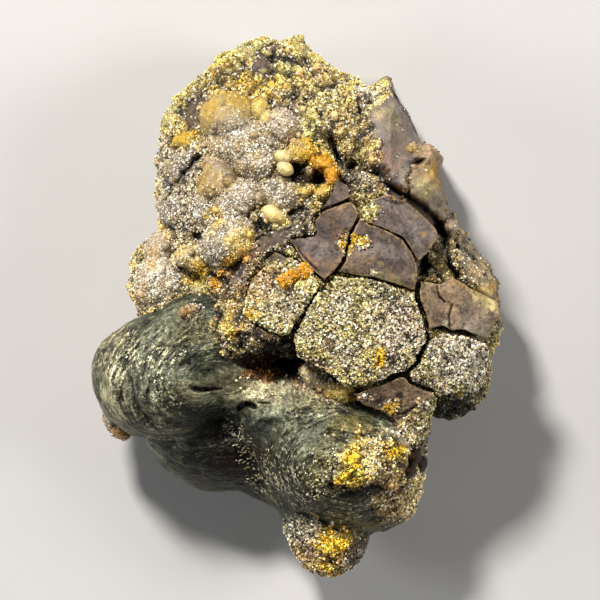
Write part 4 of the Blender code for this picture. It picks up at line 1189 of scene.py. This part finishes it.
def outline(corners, apart):
    """Points at equal steps round the corners, counter-clockwise, smoothed along the line twice."""
    x, y = np.array(corners).T
    if np.sum(x * np.roll(y, -1) - y * np.roll(x, -1)) < 0:
        corners = corners[::-1]
    closed = np.array([*corners, corners[0]])
    ends = np.append(0, np.cumsum(np.linalg.norm(np.diff(closed, axis=0), axis=1)))
    count = int(ends[-1] / apart)
    at = np.arange(count) * ends[-1] / count
    rim = np.column_stack([np.interp(at, ends, closed[:, k]) for k in (0, 1)])
    for _ in range(2):
        rim = (np.roll(rim, 1, axis=0) + 2 * rim + np.roll(rim, -1, axis=0)) / 4
    return rim


def ring_faces(n, rings):
    """The faces between rings of n points: a fan round the first point, quads, and a fan round the last."""
    i = np.arange(n)
    j = (i + 1) % n
    first, last = 1 + n * np.arange(rings)[:, None], 1 + n * rings
    inner, outer = first[:-1], first[1:]
    quads = np.stack([inner + i, outer + i, outer + j, inner + j], -1).reshape(-1, 4)
    top = np.column_stack([0 * i, 1 + i, 1 + j, 1 + j])
    end = first[-1]
    return np.vstack([top, quads, np.column_stack([end + i, 0 * i + last, end + j, end + j])])


def plate(gap, druse, corners):
    """A slab: rings from its middle that follow the dome, round over its edge and go down its wall."""
    rim = outline(corners, RIM_STEP)
    n = len(rim)
    along = np.roll(rim, -1, axis=0) - np.roll(rim, 1, axis=0)
    inward = np.column_stack([-along[:, 1], along[:, 0]]) / np.linalg.norm(along, axis=1)[:, None]
    jag = clouds(np.column_stack([rim, np.zeros(n)]), 1.2, 3, 9)
    rim = rim + inward * (gap + 0.04 + (0.20 + 0.08 * druse) * jag)[:, None]
    middle = rim.mean(axis=0)
    shares = np.append(np.linspace(0.02, 0.94, TOP_RINGS), EDGE_SHARES)
    flat = np.vstack([[middle], *[middle + (rim - middle) * share for share in shares]])
    top = np.maximum(dome(flat), rock_top(flat) + PLATE_LIFT)
    full = np.column_stack([flat, top])
    top = rolling(full, PLATE_ROLL, top)
    if druse:
        top = top + 0.45 * (knobbly(full, 1.5) - 0.5) + 0.8 * (knobbly(full, 4.2) - 0.5)
    hairs = cracked(flat, HAIRLINES, 0.15)
    drops = np.repeat([*[0] * TOP_RINGS, *EDGE_DROPS], n)
    top -= np.append(0, drops) + 0.5 * hairs
    verts = [np.column_stack([flat, top])]
    for down in np.linspace(0.1, 1.0, WALL_RINGS):
        wall = np.column_stack([rim, top[-n:] - PLATE_THICK * down])
        wall[:, :2] += inward * (0.45 * clouds(wall, 1.0, 2, 12) + 0.3 + 0.5 * down)[:, None]
        verts.append(wall)
    verts.append([[*middle, verts[-1][:, 2].min() - 0.2]])
    verts = np.vstack(verts)
    rings = len(shares) + WALL_RINGS
    ring = np.concatenate([[0], np.repeat(np.arange(rings), n), [rings]])
    wall = (ring >= len(shares)).astype(float)
    outer = np.concatenate([[0], np.repeat(shares, n), np.ones(WALL_RINGS * n + 1)])
    if druse:
        paint = blended(plain(verts, "khaki"), "ash", 0.5 + clouds(verts, 4.0, 2, 20))
    else:
        paint = clouded(verts, plain(verts, "mauve"), PLATE_CLOUDS)
        paint = clouded(verts, paint, PLATE_RIM_CLOUDS, step_up(0.4, 1.0, outer))
    hairs = np.append(hairs, np.zeros(WALL_RINGS * n + 1))
    # Painted shade in the hairline cracks, and on druse between its knobs.
    paint = blended(painted(verts, paint, PLATE_SPOTS), "pit shade", 1.2 * hairs)
    if druse:
        paint = paint * (0.35 + 0.92 * step_up(0.1, 0.8, knobbly(verts, 1.5)))[:, None]
        grown = 1 - patch(verts, DRUSE_END)
    else:
        grown = most(verts, PLATE_GROWTHS, 0.5)
    edge = (1 - wall) * (ring >= TOP_RINGS) * (1 - 0.7 * druse)
    return verts, ring_faces(n, rings), paint, {"wall": wall, "rim": edge, "druse": grown}


# ---------------------------------------------------------------- lumps

LUMP_GRID = 18
# The half size from which a lump has its full relief.
LUMP_FULL = 2.5


def lump_numbers(paint, sparkle):
    """The numbers that the lumps' looks are made of: dark places reflect only their own colour."""
    return {"sparkle": sparkle, "frost": greyness(paint), "dusk": 1 - step_up(0.03, 0.14, paint.sum(axis=1))}


def lump(centre, half, turn, sparkle, bumpy):
    """An ellipsoid with knobs on it that swells to meet what it touches, tinted like the lumps beside it."""
    ways, faces = ball(LUMP_GRID, 0.2)
    verts = centre + turned(ways * half, turn)
    rock = rock_field(verts)
    others = np.minimum.reduce([lobe(verts, *other[:3]) for other in LUMPS if other[0] != centre])
    near = np.minimum(rock, others)
    size = min(1.0, min(half) / LUMP_FULL)
    relief = (clouds(verts, 3.2, 2, 13) + 0.55 * (knobbly(verts, 1.6) - 0.5)) * size
    relief += 0.2 * (knobbly(verts, 0.75) - 0.5)
    swell = LUMP_BLEND * 0.25 * np.square(1 - np.minimum(np.abs(near) / LUMP_BLEND, 1))
    verts = verts + ways * (relief * bumpy + swell)[:, None]
    _, paint, sparkles = near_lumps(verts)
    pale = step_up(0.02, 0.12, paint.sum(axis=1))
    paint = blended(paint, "gold", step_up(0.0, 0.7, clouds(verts, 2.4, 2, 14)) * 0.4 * pale)
    cut = np.maximum(most(verts, HOLES, 0.4), np.minimum(cracked(verts, CRACKS, 0.45), 1)) * (sparkle > 0.15)
    verts[:, 2] = np.maximum(verts[:, 2] - HOLE_DEPTH * cut, 0)
    # Painted shade where a lump meets the rock or another lump, and in the holes and cracks cut into it.
    crevice_shading = (0.2 + 0.8 * step_up(-0.4, 0.8, rock)) * (0.15 + 0.85 * step_up(-0.3, 0.8, others))
    painted_shade = 0.92 * crevice_shading * (1 - 0.9 * cut)
    return verts, faces, painted(verts, paint, LUMP_SPOTS) * painted_shade[:, None], sparkles * (1 - cut)


def beads(name, verts, faces, weight, paint, count, largest):
    """Little round knobs, half sunk, in the colour of the ground that they grow on."""
    places, paint = sown(verts, faces, weight, count, paint)
    ways, sides = ball(BEAD_GRID)
    sizes = DICE.uniform(0.25, largest, (count, 1, 1)) * DICE.uniform(0.75, 1.3, (count, 1, 3))
    verts = (places[:, None] + ways[None] * sizes).reshape(-1, 3)
    verts = verts + 0.25 * (knobbly(verts, 0.55) - 0.5)[:, None] * np.tile(ways, (count, 1))
    tones = np.repeat(paint * DICE.uniform(0.7, 1.4, (count, 1)), len(ways), axis=0)
    sparkle = np.repeat(DICE.uniform(0, 0.5, count), len(ways))
    faces = repeated(sides, len(ways), count)
    piece(name, verts, faces, LUMP_SUGAR, True, tones, lump_numbers(tones, sparkle))


# ---------------------------------------------------------------- everything

# Crystals: how many, their least and greatest size, a gain on their paint, and the shares of dark and bright
# ones and of white on them. Beads: how many, and their greatest size.
NODULE_CRYSTALS = (12500, 0.13, 0.38, 2.3, (0.22, 0.26, 0.4))
DRUSE = (0.16, 0.39, 1.3, (0.22, 0.26, 0.5))
DRUSE_PER_WEIGHT, LEAST_DRUSE = 0.71, 50
LUMP_CRYSTALS = (11000, 0.08, 0.22, 1.4, (0.12, 0.36, 0.6))
CRUST_CRYSTALS = (16000, 0.12, 0.36, 1.45, (0.20, 0.24, 0.5))
CRUST_SPEARS = (24000, 0.16, 0.44, 1.45, (0.20, 0.24, 0.5))
LUMP_BEADS = (130, 0.75)
CRUST_BEADS = (180, 0.55)
FLAKE_COUNT = 1100


def flakes(verts, faces, weight):
    """Thin scales that lie on the metal: long along its flow, narrow across it, and thin along its normal."""
    one = (FLAKE_COUNT, 1)
    places, ways = sown(verts, faces, weight, FLAKE_COUNT, facings(verts, faces))
    rings = [places - centre for centre, _, _ in SWIRLS]
    nearer = np.linalg.norm(rings[0], axis=1) < np.linalg.norm(rings[1], axis=1)
    along = np.cross(ways, np.where(nearer[:, None], *rings)) + DICE.normal(0, 2.5, (FLAKE_COUNT, 3))
    stretches = np.hstack([DICE.uniform(0.2, 0.8, one), DICE.uniform(0.08, 0.2, one), np.full(one, 0.1)])
    # The pale flakes are painted glints along the streaks; the rest are dark or khaki.
    pick = DICE.random(one)
    tones = np.where(pick < 0.55, linear("glitter") * DICE.uniform(0.3, 1.0, one), linear("dark"))
    tones = np.where(pick > 0.8, linear("khaki") * 0.7, tones)
    ways = ways / np.linalg.norm(ways, axis=1)[:, None]
    along = along - ways * np.sum(along * ways, axis=1)[:, None]
    along /= np.linalg.norm(along, axis=1)[:, None]
    turns = np.stack([along, np.cross(ways, along), ways], -1)
    many("nodule_flakes", places, turns, stretches, tones, SPEAR)


verts, faces, paint, glint, grown = nodule()
grow("nodule_crystals", verts, faces, grown**1.3, paint, *NODULE_CRYSTALS)
flakes(verts, faces, glint**2)

for name, (gap, druse, corners) in PLATES.items():
    verts, faces, paint, numbers = plate(gap, druse, corners)
    piece("plate_" + name, verts, faces, PLATE_SATIN, True, paint, numbers)
    weight = numbers["druse"] * (1 - 0.5 * numbers["wall"]) * (1 - 0.8 * numbers["rim"])
    weight = weight * (verts[:, 2] > verts[:, 2].min() + 2.5)
    if weight.sum() > LEAST_DRUSE:
        count = int(weight.sum() * DRUSE_PER_WEIGHT)
        grow("druse_on_" + name, verts, faces, weight, paint, count, *DRUSE)

parts = [lump(*shape, sparkle, bumpy) for *shape, _, sparkle, bumpy in LUMPS]
verts, _, paint, sparkle = (np.concatenate(same) for same in zip(*parts))
faces = repeated(parts[0][1], len(parts[0][0]), len(parts))
piece("lumps", verts, faces, LUMP_SUGAR, True, paint, lump_numbers(paint, sparkle))
upward = step_up(-0.2, 0.4, facings(verts, faces)[:, 2])
weight = sparkle**1.5 * upward * step_up(0.05, 0.4, paint.sum(axis=1))
grow("lump_crystals", verts, faces, weight, paint, *LUMP_CRYSTALS)
beads("lump_beads", verts, faces, 0.2 + weight, paint, *LUMP_BEADS)

verts, faces, paint, weight, upper = crust()
grow("crust_crystals", verts, faces, weight, paint, *CRUST_CRYSTALS)
grow("crust_spears", verts, faces, weight, paint, *CRUST_SPEARS, SPEAR)
upper = upper * step_up(8, 14, verts[:, 1])
beads("crust_beads", verts, faces, upper, np.maximum(paint, linear("khaki") * 0.6), *CRUST_BEADS)

# ---------------------------------------------------------------- floor, light and camera

# From here on, places and sizes are in metres.
FLOOR_HALF = 3.0
LAMP_AIM = Vector((0, 0, 0.02))
# Square softboxes: place, power, size and tint.
LAMPS = {
    "key": ((-0.26, 0.52, 0.70), 13.4, 0.12, (1.0, 0.97, 0.93)),
    "right": ((0.70, 0.06, 0.55), 4.2, 0.30, (1.0, 1.0, 1.0)),
    "left": ((-0.70, 0.02, 0.45), 2.5, 0.30, (0.94, 0.97, 1.0)),
}
SKY_COLOUR = (0.9, 0.95, 1.0, 1.0)
SKY_STRENGTH = 0.065
EYE = (0.00042, 0.00133, 1.022)


def floor():
    """A pale, very slightly mottled floor."""
    s = Shade("floor_paper", roughness=0.8)
    s.wire(base_color=s.mix(s.between(s.noise(40.0), 0.3, 0.7), "paper", "paper shade"))
    mesh = bpy.data.meshes.new("floor")
    corners = [(x * FLOOR_HALF, y * FLOOR_HALF, 0) for x, y in ((-1, -1), (1, -1), (1, 1), (-1, 1))]
    mesh.from_pydata(corners, [], [(0, 1, 2, 3)])
    mesh.materials.append(s.material)
    placed("floor", mesh)


floor()
for name, (place, power, size, tint) in LAMPS.items():
    light = bpy.data.lights.new(name, "AREA")
    light.energy, light.size, light.color = power, size, tint
    lamp = placed(name, light)
    lamp.location = place
    lamp.rotation_euler = (LAMP_AIM - Vector(place)).to_track_quat("-Z", "Y").to_euler()

world = bpy.data.worlds.new("studio")
bpy.context.scene.world = world
world.use_nodes = True
sky = world.node_tree.nodes["Background"].inputs
sky["Color"].default_value = SKY_COLOUR
sky["Strength"].default_value = SKY_STRENGTH

bpy.context.scene.view_settings.view_transform = "Standard"

camera = bpy.data.cameras.new("camera")
camera.lens = 360.0
camera.sensor_width = 36.0
camera.clip_start = 0.05
eye = placed("camera", camera)
eye.location = EYE
bpy.context.scene.camera = eye
